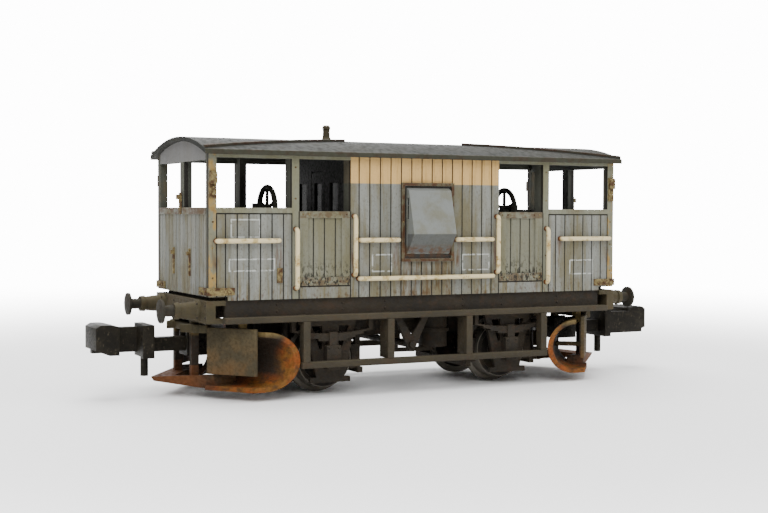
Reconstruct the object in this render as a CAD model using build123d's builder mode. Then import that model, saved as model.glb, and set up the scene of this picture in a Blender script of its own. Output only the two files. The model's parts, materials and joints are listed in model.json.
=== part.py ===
from build123d import *
import os
from math import cos, radians, sin, tan

# N gauge (1:148) ballast-plough brake van: a planked body with an open veranda at each end,
# a cabin with lookouts, a four-wheeled underframe, a steel plough and a hook coupler at each end.
# +X is the rear, -X the front, -Y the left side, +Y the right side. Z = 0 is the level of the
# wheel flanges' lowest point. Every size is in millimetres.

os.makedirs("parts", exist_ok=True)

ENDS = (("front", -1), ("rear", 1))
SIDES = (("left", -1), ("right", 1))

# ---------------------------------------------------------------- driving sizes
BODY_LENGTH = 49.4      # over the end boards
BODY_WIDTH = 16.94      # over the side boards
CABIN_LENGTH = 18.2     # over the two cabin bulkheads
DOOR_WIDTH = 5.85       # clear doorway between the cabin and the door post
WHEELBASE = 21.9

# heights
SOLEBAR_BOTTOM = 8.0
SILL_Z = 10.3           # underside of the side boards, top of the underframe
END_SILL_Z = 10.7       # the boards stop a little higher at the body ends
WAIST_Z = 19.1          # top of the veranda boards
WAIST_TOP_Z = 19.65     # top of the waist rail
DOOR_TOP_Z = 19.3
CANTRAIL_Z = 24.65      # underside of the rail that carries the roof
ROOF_TOP_Z = 27.05

# thicknesses and small widths
SIDE_T = 0.9
END_T = 0.9
FLOOR_T = 0.8
BULKHEAD_T = 0.7
JAMB_WIDTH = 0.8
JAMB_DEPTH = 1.8        # the door posts run in from the outer face
CORNER_POST = 0.83
CENTRE_POST = 1.2
GLUE_GAP = 0.02         # between pieces that are glued face to face

# boards
BOARD_PITCH = 1.25
GROOVE_W = 0.14
GROOVE_D = 0.12

# doors
DOOR_SET = 0.18         # the door boards lie this far behind the face
DOOR_STILE = 1.0
DOOR_TOP_RAIL = 0.7
DOOR_BOTTOM_RAIL = 1.0
DOOR_SILL_BOARD = 1.17
RAIL_PROUD = 0.12       # the waist rail on the ends stands out this far

# roof
ROOF_R = 27.0
ROOF_T = 0.45
ROOF_SIDE_OVERHANG = 0.78
ROOF_END_OVERHANG = 0.6
RAIN_STRIP_W = 0.34
RAIN_STRIP_H = 0.26
RAIN_STRIP_IN = (7.4, 3.4)      # inner end of a rain strip, along and across
PIPE_X = 1.0 - CABIN_LENGTH / 2
PIPE_R = 0.42
PIPE_TOP_Z = 28.8
PIPE_CLEAR = 0.04

# lookouts
LOOKOUT_HALF = 3.2
LOOKOUT_Z = (13.95, 22.4)
LOOKOUT_FRAME = 0.33
LOOKOUT_FRAME_T = 0.35
LOOKOUT_BASE_T = 0.12
LOOKOUT_GAP = 0.3
LOOKOUT_WALL = 0.4
LOOKOUT_REACH = 1.95            # at the fold
LOOKOUT_TOP_REACH = 0.75
LOOKOUT_FOLD_Z = 16.95
LOOKOUT_WINDOW_Z = (18.5, 20.8)

# handrails
RAIL_R = 0.24
RAIL_STAND = 0.55       # centre line to the body's face
RAIL_BEND = 0.36
RAIL_CLEAR = 0.03
RAIL_IN = 0.6           # how far a wire end goes into the wall
HIGH_RAIL_Z = 16.3
LOW_RAIL_Z = 12.25

# underframe
SOLEBAR_FACE = 8.05
SOLEBAR_WEB = 0.5
SOLEBAR_FLANGE = 1.2
SOLEBAR_FLANGE_T = 0.4
HEADSTOCK_HALF = 8.4
HEADSTOCK_DEPTH = 2.0
HEADSTOCK_WEB = 0.95
HEADSTOCK_FLANGE = 0.5
HEADSTOCK_PROUD = 0.2   # beyond the end boards
BUFFER_Y = 5.9
BUFFER_Z = 9.25
BUFFER_REACH = 4.2      # from the headstock's face
BUFFER_HEAD_R = 1.2
BUFFER_SHANK_R = 0.55
BUFFER_HOUSING = 2.65
BUFFER_SPIGOT_R = 0.35
BUFFER_CLEAR = 0.03

# running gear, to N gauge wheel sizes
FLANGE_R = 3.75
TREAD_R = 3.15
WHEEL_WIDTH = 2.2
FLANGE_T = 0.55
BACK_TO_BACK = 7.55
AXLE_R = 0.75
JOURNAL_R = 0.45
JOURNAL_CLEAR = 0.05
AXLE_SHOULDER = 6.9     # half length of the thick part
AXLE_HALF = 7.65        # half length over the journals
END_PLAY = 0.1

# axleguards, axleboxes, springs
GUARD_T = 0.5
GUARD_TOP_HALF = 3.0
GUARD_FOOT_HALF = 1.6
GUARD_LEG = 0.85
GUARD_FOOT_Z = 1.9
GUARD_BAR_HALF = 2.3
GUARD_BAR_T = 0.55
BOX_HALF = 0.8
BOX_T = 0.95
BOX_Z = (2.75, 5.3)
SPRING_HALF = 4.5
SPRING_SAG = 0.45
SPRING_TOP_Z = 6.55     # top of the main leaf at the middle
LEAF_T = 0.2
LEAF_COUNT = 4
LEAF_STEP = 0.95
SPRING_T = 0.65
BUCKLE_HALF = 0.45

# footboards
BOARD_EDGE = 9.55       # outer edge of both footboards
FOOTBOARD_DEPTH = 1.0
UPPER_BOARD_HALF = BODY_LENGTH / 2 - 1.4
UPPER_BOARD_Z = (8.0, 8.62)
LOWER_BOARD_HALF = WHEELBASE / 2 + 4.05
LOWER_BOARD_Z = (3.15, 3.8)
HANGER_X = (WHEELBASE / 2 - 6.15, WHEELBASE / 2 + 3.55)
HANGER_T = 0.75

# brakes
V_HANGER_X = -1.2
V_HANGER_HALF = 2.1
V_HANGER_T = 0.4
V_ARM = 0.75
SHAFT_Z = 4.9
SHAFT_R = 0.37
SHAFT_CLEAR = 0.04
SHOE_GAP = 0.2
SHOE_T = 0.75
SHOE_WIDTH = 1.1
YOKE_HALF = 6.0
CYLINDER_XY = (3.7, -3.2)
CYLINDER_R = 1.6
CYLINDER_Z = (4.2, 8.0)

# ploughs
APEX_X = BODY_LENGTH / 2 + 2.5      # where the two mouth lines would meet
SWEEP = 51.9            # a wing's angle from the X axis in plan
PLOUGH_R = 3.05
PLOUGH_T = 0.5
PLOUGH_BOTTOM = 0.95
PLOUGH_LIP = 1.0
MOUTH_SET = 0.7         # the blade's centre line lies this far behind the mouth line
WING_IN = 4.6
WING_OUT = 9.3
NOSE_TIP_X = BODY_LENGTH / 2 + 3.4
NOSE_RUN = 5.2          # from the centre line to where the nose meets a blade
NOSE_DEPTH = 2.5        # along the vehicle
NOSE_TIP_Z = (1.55, 2.0)
NOSE_WING_Z = (0.95, 2.5)
PLATE_T = 0.45
PLATE_Z = (2.6, 7.4)
PLATE_IN = 4.7
RIB_REACH = 7.0
RIB_HALF_H = 0.25
BEAM_X = (BODY_LENGTH / 2 - 0.8, BODY_LENGTH / 2)
BEAM_Z = (6.75, 7.6)
BEAM_HALF = 4.2
BRACE_T = 0.6
BRACE_IN = 2.15
ARM_Y = (2.4, 3.1)

# couplers
POCKET_X = (BODY_LENGTH / 2 - 3.3, BODY_LENGTH / 2 - 0.1)
POCKET_HALF = 1.35
POCKET_Z = (4.15, 6.65)
POCKET_WALL = 0.5
POCKET_ROOF_X = BODY_LENGTH / 2 - 1.2       # the pocket is open on top outboard of here
SHANK_HALF = 0.75
SHANK_H = 1.4
SHANK_CLEAR = 0.1
SHANK_Z = 5.4
LIFT_X = BODY_LENGTH / 2 - 1.8
TRUNNION_R = 0.3
TRUNNION_CLEAR = 0.05
SWING_X = BODY_LENGTH / 2 - 6.1
TAIL_Z = (5.65, 6.5)
TAIL_R = 1.1
TAIL_HALF = 0.8
SCREW_R = 0.5
SCREW_CLEAR = 0.05
SCREW_HEAD_R = 0.95
SCREW_HEAD_T = 0.4
BOSS_R = 1.2
SWING_PLAY = 0.1

# hand wheels
HAND_WHEEL_X = 15.1
HAND_WHEEL_Z = 19.6
HAND_WHEEL_R = 2.3
HAND_RIM_R = 0.3
SPINDLE_R = 0.2
SPINDLE_CLEAR = 0.03
COLUMN_X = 16.2

# ballast weight
WEIGHT_HALF = (7.6, 6.0)
WEIGHT_T = 2.4

# ---------------------------------------------------------------- values worked out from them
HALF_L = BODY_LENGTH / 2
HALF_W = BODY_WIDTH / 2
CABIN_HALF = CABIN_LENGTH / 2
JAMB_IN = CABIN_HALF + DOOR_WIDTH
JAMB_OUT = JAMB_IN + JAMB_WIDTH
INNER_W = HALF_W - SIDE_T
INNER_L = HALF_L - END_T
FLOOR_TOP = SILL_Z + FLOOR_T
ROOF_AXIS_Z = ROOF_TOP_Z - ROOF_R
ROOF_UNDER_R = ROOF_R - ROOF_T
ROOF_HALF_W = HALF_W + ROOF_SIDE_OVERHANG
ROOF_HALF_L = HALF_L + ROOF_END_OVERHANG
HEADSTOCK_FACE = HALF_L + HEADSTOCK_PROUD
HEADSTOCK_BACK = HEADSTOCK_FACE - HEADSTOCK_DEPTH
AXLE_X = WHEELBASE / 2
AXLE_Z = FLANGE_R
GUARD_IN = AXLE_SHOULDER + END_PLAY
GUARD_OUT = GUARD_IN + GUARD_T
BOX_OUT = GUARD_OUT + BOX_T
BOARD_IN = BOARD_EDGE - FOOTBOARD_DEPTH
WING_RUN = tan(radians(90 - SWEEP))     # how far a wing goes back for each unit outwards
WING_COS = cos(radians(SWEEP))
WING_SIN = sin(radians(SWEEP))
SOLEBAR_IN = SOLEBAR_FACE - SOLEBAR_FLANGE


def block(x, y, z, mode=Mode.ADD):
    """Add or cut a box that spans the three pairs of coordinates."""
    spans = [sorted(pair) for pair in (x, y, z)]
    middle = [(low + high) / 2 for low, high in spans]
    with Locations(tuple(middle)):
        Box(*[high - low for low, high in spans], mode=mode)


def rod(start, length, radius, axis, mode=Mode.ADD):
    """Add or cut a round rod from start along +X, +Y or +Z, or back along it if length is negative."""
    turn = {"X": (0, 90, 0), "Y": (-90, 0, 0), "Z": (0, 0, 0)}[axis]
    step = {"X": (1, 0, 0), "Y": (0, 1, 0), "Z": (0, 0, 1)}[axis]
    middle = tuple(s + d * length / 2 for s, d in zip(start, step))
    with Locations(middle):
        Cylinder(radius, abs(length), rotation=turn, mode=mode)


def trim_to_roof():
    """Keep only what lies under the roof's inner face."""
    with Locations((0, 0, ROOF_AXIS_Z)):
        Cylinder(ROOF_UNDER_R, 4 * HALF_L, rotation=(0, 90, 0), mode=Mode.INTERSECT)


def groove_places(low, high, pitch=BOARD_PITCH):
    """Even joints between boards, centred on the panel from low to high."""
    count = int((high - low) / pitch + 0.5)
    count -= 0 if (high - low) - (count - 1) * pitch > 0.8 * pitch else 1
    middle = (low + high) / 2
    return [middle + (i - (count - 1) / 2) * pitch for i in range(count)]


def wing_point(reach, back):
    """Plan point of a plough: reach is the distance from the centre line on the mouth line,
    back the distance behind the mouth line, square to it."""
    return (APEX_X - reach * WING_RUN - back * WING_SIN, reach - back * WING_COS)


# Handrails: each is a list of (x, z) corners, for the +X half and the middle of a side.
CABIN_RAIL_X = CABIN_HALF - 0.35
HALF_RAILS = [
    [(HALF_L - 0.75, HIGH_RAIL_Z), (JAMB_OUT + 1.5, HIGH_RAIL_Z)],
    [(JAMB_IN + JAMB_WIDTH / 2, HIGH_RAIL_Z + 1.15), (JAMB_IN + JAMB_WIDTH / 2, LOW_RAIL_Z - 0.85)],
    [(CABIN_RAIL_X, DOOR_TOP_Z - 0.5), (CABIN_RAIL_X, LOW_RAIL_Z + 0.4)],
    [(CABIN_RAIL_X - 0.65, HIGH_RAIL_Z), (LOOKOUT_HALF + 0.35, HIGH_RAIL_Z)],
]
RAILS = [[(sx * x, z) for x, z in rail] for sx in (-1, 1) for rail in HALF_RAILS]
RAILS.append([(-CABIN_RAIL_X + 0.55, LOW_RAIL_Z), (CABIN_RAIL_X - 0.55, LOW_RAIL_Z)])

# ---------------------------------------------------------------- body sides
for side, sy in SIDES:
    face = sy * HALF_W
    inner = sy * INNER_W
    with BuildPart() as body_side:
        block((-CABIN_HALF, CABIN_HALF), (face, inner), (SILL_Z, ROOF_TOP_Z))
        for sx in (-1, 1):
            # veranda boards, waist rail, posts and cantrail
            block((sx * JAMB_IN, sx * HALF_L), (face, inner), (SILL_Z, WAIST_TOP_Z))
            block((sx * JAMB_IN, sx * JAMB_OUT), (face, inner), (SILL_Z, ROOF_TOP_Z))
            block((sx * JAMB_IN, sx * JAMB_OUT), (face, sy * (HALF_W - JAMB_DEPTH)),
                  (FLOOR_TOP + GLUE_GAP, ROOF_TOP_Z))
            block((sx * (CABIN_HALF - JAMB_WIDTH), sx * CABIN_HALF), (face, sy * (HALF_W - JAMB_DEPTH)),
                  (FLOOR_TOP + GLUE_GAP, ROOF_TOP_Z))
            block((sx * (HALF_L - CORNER_POST), sx * HALF_L), (face, inner), (SILL_Z, ROOF_TOP_Z))
            block((sx * CABIN_HALF, sx * HALF_L), (face, inner), (CANTRAIL_Z, ROOF_TOP_Z))
            # half-height door: a framed panel with a flush board below it
            block((sx * CABIN_HALF, sx * JAMB_IN), (face, inner), (SILL_Z, DOOR_TOP_Z))
            block((sx * (CABIN_HALF + DOOR_STILE), sx * (JAMB_IN - DOOR_STILE)),
                  (face, sy * (HALF_W - DOOR_SET)),
                  (SILL_Z + DOOR_SILL_BOARD + DOOR_BOTTOM_RAIL, DOOR_TOP_Z - DOOR_TOP_RAIL), Mode.SUBTRACT)
            door_low = SILL_Z + DOOR_SILL_BOARD
            for x in (CABIN_HALF, JAMB_IN):
                block((sx * (x - GROOVE_W / 2), sx * (x + GROOVE_W / 2)), (face, sy * (HALF_W - GROOVE_D)),
                      (SILL_Z, DOOR_TOP_Z), Mode.SUBTRACT)
            block((sx * CABIN_HALF, sx * JAMB_IN), (face, sy * (HALF_W - GROOVE_D)),
                  (door_low, door_low + GROOVE_W), Mode.SUBTRACT)
            for x in groove_places(CABIN_HALF + DOOR_STILE, JAMB_IN - DOOR_STILE):
                block((sx * (x - GROOVE_W / 2), sx * (x + GROOVE_W / 2)),
                      (face, sy * (HALF_W - DOOR_SET - GROOVE_D)),
                      (door_low + DOOR_BOTTOM_RAIL, DOOR_TOP_Z - DOOR_TOP_RAIL), Mode.SUBTRACT)
            # joints between the veranda boards, and the raised bottom edge at the end
            for x in groove_places(JAMB_OUT, HALF_L - CORNER_POST) + [JAMB_OUT, HALF_L - CORNER_POST]:
                block((sx * (x - GROOVE_W / 2), sx * (x + GROOVE_W / 2)), (face, sy * (HALF_W - GROOVE_D)),
                      (SILL_Z, WAIST_Z), Mode.SUBTRACT)
            block((sx * JAMB_OUT, sx * (HALF_L - CORNER_POST)), (face, sy * (HALF_W - GROOVE_D)),
                  (WAIST_Z - GROOVE_W, WAIST_Z), Mode.SUBTRACT)
            block((sx * (HALF_L - HEADSTOCK_DEPTH), sx * (HALF_L + 1)), (face, inner),
                  (SILL_Z, END_SILL_Z), Mode.SUBTRACT)
        for x in groove_places(-CABIN_HALF, CABIN_HALF):
            block((x - GROOVE_W / 2, x + GROOVE_W / 2), (face, sy * (HALF_W - GROOVE_D)),
                  (SILL_Z, ROOF_TOP_Z), Mode.SUBTRACT)
        # opening from the cabin into the lookout
        lookout_in = LOOKOUT_HALF - LOOKOUT_FRAME - LOOKOUT_GAP - LOOKOUT_WALL
        block((-lookout_in, lookout_in), (face, inner), (LOOKOUT_FOLD_Z, LOOKOUT_WINDOW_Z[1]), Mode.SUBTRACT)
        for rail in RAILS:
            for x, z in (rail[0], rail[-1]):
                rod((x, face, z), -sy * SIDE_T, RAIL_R + RAIL_CLEAR, "Y", Mode.SUBTRACT)
        trim_to_roof()
    body_side.part.label = f"body_side_{side}"
    export_step(body_side.part, f"parts/body_side_{side}.step")

# ---------------------------------------------------------------- body ends
END_HALF = INNER_W - GLUE_GAP
END_RAIL_Z = 18.95
END_BEAM_Z = 24.4
for end, sx in ENDS:
    face = sx * HALF_L
    inner = sx * INNER_L
    with BuildPart() as body_end:
        block((face, inner), (-END_HALF, END_HALF), (END_SILL_Z, WAIST_TOP_Z))
        block((face, inner), (-CENTRE_POST / 2, CENTRE_POST / 2), (WAIST_TOP_Z, END_BEAM_Z))
        block((face, inner), (-END_HALF, END_HALF), (END_BEAM_Z, ROOF_TOP_Z))
        block((face, sx * (HALF_L + RAIL_PROUD)), (-END_HALF, END_HALF), (END_RAIL_Z, WAIST_TOP_Z))
        for y in groove_places(-END_HALF, END_HALF):
            block((face, sx * (HALF_L - GROOVE_D)), (y - GROOVE_W / 2, y + GROOVE_W / 2),
                  (END_SILL_Z, END_RAIL_Z), Mode.SUBTRACT)
        trim_to_roof()
    body_end.part.label = f"body_end_{end}"
    export_step(body_end.part, f"parts/body_end_{end}.step")

# ---------------------------------------------------------------- cabin bulkheads and glazing
BULKHEAD_HALF = HALF_W - JAMB_DEPTH - GLUE_GAP
WINDOW_Z = (19.0, 22.4)
WINDOW_HALF = 1.1
WINDOW_Y = INNER_W - 3.37
INNER_DOOR_HALF = 1.7
INNER_DOOR_TOP = 23.6
PANE_T = 0.3
BULKHEAD_WINDOWS = [(y, half) for y, half in ((-WINDOW_Y, WINDOW_HALF), (0, 0.95), (WINDOW_Y, WINDOW_HALF))]
for end, sx in ENDS:
    out = sx * CABIN_HALF
    with BuildPart() as bulkhead:
        block((out, sx * (CABIN_HALF - BULKHEAD_T)), (-BULKHEAD_HALF, BULKHEAD_HALF),
              (FLOOR_TOP, ROOF_TOP_Z))
        for y, half in BULKHEAD_WINDOWS:
            block((out, sx * (CABIN_HALF - BULKHEAD_T)), (y - half, y + half), WINDOW_Z, Mode.SUBTRACT)
        for y in (-INNER_DOOR_HALF, INNER_DOOR_HALF):
            block((out, sx * (CABIN_HALF - GROOVE_D)), (y - GROOVE_W / 2, y + GROOVE_W / 2),
                  (FLOOR_TOP, INNER_DOOR_TOP), Mode.SUBTRACT)
        block((out, sx * (CABIN_HALF - GROOVE_D)), (-INNER_DOOR_HALF, INNER_DOOR_HALF),
              (INNER_DOOR_TOP, INNER_DOOR_TOP + GROOVE_W), Mode.SUBTRACT)
        trim_to_roof()
    bulkhead.part.label = f"bulkhead_{end}"
    export_step(bulkhead.part, f"parts/bulkhead_{end}.step")

with BuildPart() as cabin_glazing:
    for _, sx in ENDS:
        middle = CABIN_HALF - BULKHEAD_T / 2
        for y, half in BULKHEAD_WINDOWS:
            block((sx * (middle - PANE_T / 2), sx * (middle + PANE_T / 2)),
                  (y - half + GLUE_GAP, y + half - GLUE_GAP), (WINDOW_Z[0] + GLUE_GAP, WINDOW_Z[1] - GLUE_GAP))
cabin_glazing.part.label = "cabin_glazing"
export_step(cabin_glazing.part, "parts/cabin_glazing.step")

# ---------------------------------------------------------------- floor and weight
with BuildPart() as floor:
    length = INNER_L - GLUE_GAP
    block((-length, length), (-INNER_W + GLUE_GAP, INNER_W - GLUE_GAP), (SILL_Z, FLOOR_TOP))
floor.part.label = "floor"
export_step(floor.part, "parts/floor.step")

with BuildPart() as ballast_weight:
    block((-WEIGHT_HALF[0], WEIGHT_HALF[0]), (-WEIGHT_HALF[1], WEIGHT_HALF[1]), (FLOOR_TOP, FLOOR_TOP + WEIGHT_T))
    chamfer(ballast_weight.edges().group_by(Axis.Z)[-1], 0.3)
ballast_weight.part.label = "ballast_weight"
export_step(ballast_weight.part, "parts/ballast_weight.step")

# ---------------------------------------------------------------- roof
STRIP_OUT_Y = ROOF_HALF_W - 0.25
with BuildPart() as roof:
    # the rain strips come first, as prisms cut to a shell a little larger than the roof
    with BuildSketch(Plane.XY.offset(SILL_Z)):
        for sx in (-1, 1):
            for sy in (-1, 1):
                with BuildLine():
                    Polyline((sx * ROOF_HALF_L, sy * STRIP_OUT_Y),
                             (sx * RAIN_STRIP_IN[0], sy * RAIN_STRIP_IN[1]),
                             (sx * RAIN_STRIP_IN[0], sy * (RAIN_STRIP_IN[1] - RAIN_STRIP_W)),
                             (sx * ROOF_HALF_L, sy * (STRIP_OUT_Y - RAIN_STRIP_W)), close=True)
                make_face()
    extrude(amount=ROOF_TOP_Z)
    with Locations((0, 0, ROOF_AXIS_Z)):
        Cylinder(ROOF_R + RAIN_STRIP_H, 2 * ROOF_HALF_L, rotation=(0, 90, 0), mode=Mode.INTERSECT)
    with BuildSketch(Plane.YZ.offset(-ROOF_HALF_L)):
        with Locations((0, ROOF_AXIS_Z)):
            Circle(ROOF_R)
        with Locations((0, ROOF_AXIS_Z + ROOF_R)):
            Rectangle(2 * ROOF_HALF_W, ROOF_R, mode=Mode.INTERSECT)
    extrude(amount=2 * ROOF_HALF_L)
    with Locations((0, 0, ROOF_AXIS_Z)):
        Cylinder(ROOF_UNDER_R, 4 * HALF_L, rotation=(0, 90, 0), mode=Mode.SUBTRACT)
    rod((PIPE_X, 0, SILL_Z), ROOF_TOP_Z, PIPE_R + PIPE_CLEAR, "Z", Mode.SUBTRACT)
roof.part.label = "roof"
export_step(roof.part, "parts/roof.step")

with BuildPart() as stove_pipe:
    with BuildSketch(Plane.XZ):
        with BuildLine():
            Polyline((PIPE_X, ROOF_TOP_Z - ROOF_T + GLUE_GAP),
                     (PIPE_X + PIPE_R, ROOF_TOP_Z - ROOF_T + GLUE_GAP), (PIPE_X + PIPE_R, ROOF_TOP_Z), (PIPE_X + 0.68, ROOF_TOP_Z),
                     (PIPE_X + 0.55, ROOF_TOP_Z + 0.18), (PIPE_X + PIPE_R, ROOF_TOP_Z + 0.4),
                     (PIPE_X + PIPE_R - 0.04, PIPE_TOP_Z - 0.5), (PIPE_X + PIPE_R + 0.03, PIPE_TOP_Z - 0.45),
                     (PIPE_X + PIPE_R + 0.03, PIPE_TOP_Z - 0.2), (PIPE_X + PIPE_R - 0.12, PIPE_TOP_Z),
                     (PIPE_X, PIPE_TOP_Z), close=True)
        make_face()
    revolve(axis=Axis((PIPE_X, 0, 0), (0, 0, 1)))
stove_pipe.part.label = "stove_pipe"
export_step(stove_pipe.part, "parts/stove_pipe.step")

# ---------------------------------------------------------------- lookouts
BOX_HALF_X = LOOKOUT_HALF - LOOKOUT_FRAME - LOOKOUT_GAP
LOOKOUT_FOOT_Z = LOOKOUT_Z[0] + 0.75
LOOKOUT_HEAD_Z = LOOKOUT_Z[1] - 0.5
WINDOW_OUT = LOOKOUT_TOP_REACH - 0.1
for side, sy in SIDES:
    base = HALF_W + LOOKOUT_BASE_T
    with BuildPart() as lookout:
        # base plate and raised frame
        block((-LOOKOUT_HALF, LOOKOUT_HALF), (sy * HALF_W, sy * (HALF_W + LOOKOUT_FRAME_T)), LOOKOUT_Z)
        block((-LOOKOUT_HALF + LOOKOUT_FRAME, LOOKOUT_HALF - LOOKOUT_FRAME),
              (sy * base, sy * (HALF_W + LOOKOUT_FRAME_T)),
              (LOOKOUT_Z[0] + LOOKOUT_FRAME, LOOKOUT_Z[1] - LOOKOUT_FRAME), Mode.SUBTRACT)
        # the folded box
        with BuildSketch(Plane.YZ.offset(-BOX_HALF_X)):
            with BuildLine():
                Polyline((sy * HALF_W, LOOKOUT_FOOT_Z), (sy * (HALF_W + 0.4), LOOKOUT_FOOT_Z + 0.15),
                         (sy * (HALF_W + LOOKOUT_REACH), LOOKOUT_FOLD_Z),
                         (sy * (HALF_W + LOOKOUT_TOP_REACH), LOOKOUT_HEAD_Z - 0.35),
                         (sy * HALF_W, LOOKOUT_HEAD_Z), close=True)
            make_face()
        extrude(amount=2 * BOX_HALF_X)
        with BuildSketch(Plane.YZ.offset(-BOX_HALF_X + LOOKOUT_WALL)):
            with BuildLine():
                Polyline((sy * (HALF_W - 0.01), LOOKOUT_FOOT_Z + 1.0),
                         (sy * (HALF_W + LOOKOUT_REACH - 1.5 * LOOKOUT_WALL), LOOKOUT_FOLD_Z + 0.1),
                         (sy * (HALF_W + LOOKOUT_TOP_REACH - LOOKOUT_WALL), LOOKOUT_HEAD_Z - 0.8),
                         (sy * (HALF_W - 0.01), LOOKOUT_HEAD_Z - 0.6), close=True)
            make_face()
        extrude(amount=2 * (BOX_HALF_X - LOOKOUT_WALL), mode=Mode.SUBTRACT)
        # a small window in each end of the box
        block((-LOOKOUT_HALF, LOOKOUT_HALF), (sy * (base + 0.1), sy * (HALF_W + WINDOW_OUT)), LOOKOUT_WINDOW_Z,
              Mode.SUBTRACT)
        for sx in (-1, 1):
            block((sx * LOOKOUT_HALF, sx * (LOOKOUT_HALF - LOOKOUT_FRAME)),
                  (sy * HALF_W, sy * (HALF_W + LOOKOUT_FRAME_T)), LOOKOUT_Z)
    lookout.part.label = f"lookout_{side}"
    export_step(lookout.part, f"parts/lookout_{side}.step")

with BuildPart() as lookout_glazing:
    for _, sy in SIDES:
        for _, sx in ENDS:
            x = BOX_HALF_X - LOOKOUT_WALL / 2
            block((sx * (x - 0.1), sx * (x + 0.1)),
                  (sy * (HALF_W + LOOKOUT_BASE_T + 0.1 + GLUE_GAP), sy * (HALF_W + WINDOW_OUT - GLUE_GAP)),
                  (LOOKOUT_WINDOW_Z[0] + GLUE_GAP, LOOKOUT_WINDOW_Z[1] - GLUE_GAP))
lookout_glazing.part.label = "lookout_glazing"
export_step(lookout_glazing.part, "parts/lookout_glazing.step")

# ---------------------------------------------------------------- handrails
for side, sy in SIDES:
    with BuildPart() as handrails:
        for rail in RAILS:
            (x0, z0), (x1, z1) = rail
            stand = sy * (HALF_W + RAIL_STAND)
            root_y = sy * (HALF_W - RAIL_IN)
            with BuildLine() as path:
                FilletPolyline((x0, root_y, z0), (x0, stand, z0), (x1, stand, z1), (x1, root_y, z1),
                               radius=RAIL_BEND)
            with BuildSketch(Plane((x0, root_y, z0), z_dir=(0, sy, 0))):
                Circle(RAIL_R)
            sweep()
    handrails.part.label = f"handrails_{side}"
    export_step(handrails.part, f"parts/handrails_{side}.step")

# ---------------------------------------------------------------- irons on the body
BRACKET_Z = (20.6, 23.3)
BRACKET_HALF = 0.35
STRAP_T = 0.15
STRAP_RUN = 2.7
STRAP_Z = (10.85, 11.6)
BOLT_R = 0.14
CLIP_X = (16.85, 17.4)
CLIP_Z = (12.0, 13.5)
for end, sx in ENDS:
    with BuildPart() as body_irons:
        for sy in (-1, 1):
            # side lamp bracket on the corner post: an upper block, a lower block and a back strap
            post_x = HALF_L - CORNER_POST / 2
            span = (sx * (post_x - BRACKET_HALF), sx * (post_x + BRACKET_HALF))
            block(span, (sy * HALF_W, sy * (HALF_W + STRAP_T)), BRACKET_Z)
            block(span, (sy * HALF_W, sy * (HALF_W + 0.45)), (BRACKET_Z[1] - 1.3, BRACKET_Z[1] - 0.1))
            for z in (BRACKET_Z[0] + 0.4, BRACKET_Z[0] + 1.0):
                rod((sx * post_x, sy * (HALF_W + STRAP_T), z), sy * 0.14, BOLT_R, "Y")
            # corner strap: one leg on the side, one on the end
            block((sx * (HALF_L - STRAP_RUN), sx * (HALF_L + STRAP_T)), (sy * HALF_W, sy * (HALF_W + STRAP_T)),
                  STRAP_Z)
            block((sx * HALF_L, sx * (HALF_L + STRAP_T)), (sy * (HALF_W + STRAP_T), sy * (HALF_W - STRAP_RUN)),
                  STRAP_Z)
            for run in (0.5, 1.3, 2.1):
                middle = sum(STRAP_Z) / 2
                rod((sx * (HALF_L - run), sy * (HALF_W + STRAP_T), middle), sy * 0.12, BOLT_R, "Y")
                rod((sx * (HALF_L + STRAP_T), sy * (HALF_W - run), middle), sx * 0.12, BOLT_R, "X")
            # label clip, at one end of each side
            if sx == sy:
                block((sx * CLIP_X[0], sx * CLIP_X[1]), (sy * HALF_W, sy * (HALF_W + 0.18)), CLIP_Z)
            # vertical lamp irons on the end boards
            block((sx * HALF_L, sx * (HALF_L + STRAP_T)), (sy * 2.45, sy * 2.85), (12.6, 15.4))
            block((sx * (HALF_L + STRAP_T), sx * (HALF_L + 0.4)), (sy * 2.45, sy * 2.85), (14.7, 15.1))
        # lamp iron on the end rail
        rail_face = HALF_L + RAIL_PROUD
        block((sx * rail_face, sx * (rail_face + STRAP_T)), (-0.3, 0.3), (END_RAIL_Z, 21.2))
        block((sx * rail_face, sx * (rail_face + 0.45)), (-0.3, 0.3), (20.5, 21.0))
    body_irons.part.label = f"body_irons_{end}"
    export_step(body_irons.part, f"parts/body_irons_{end}.step")

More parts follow.
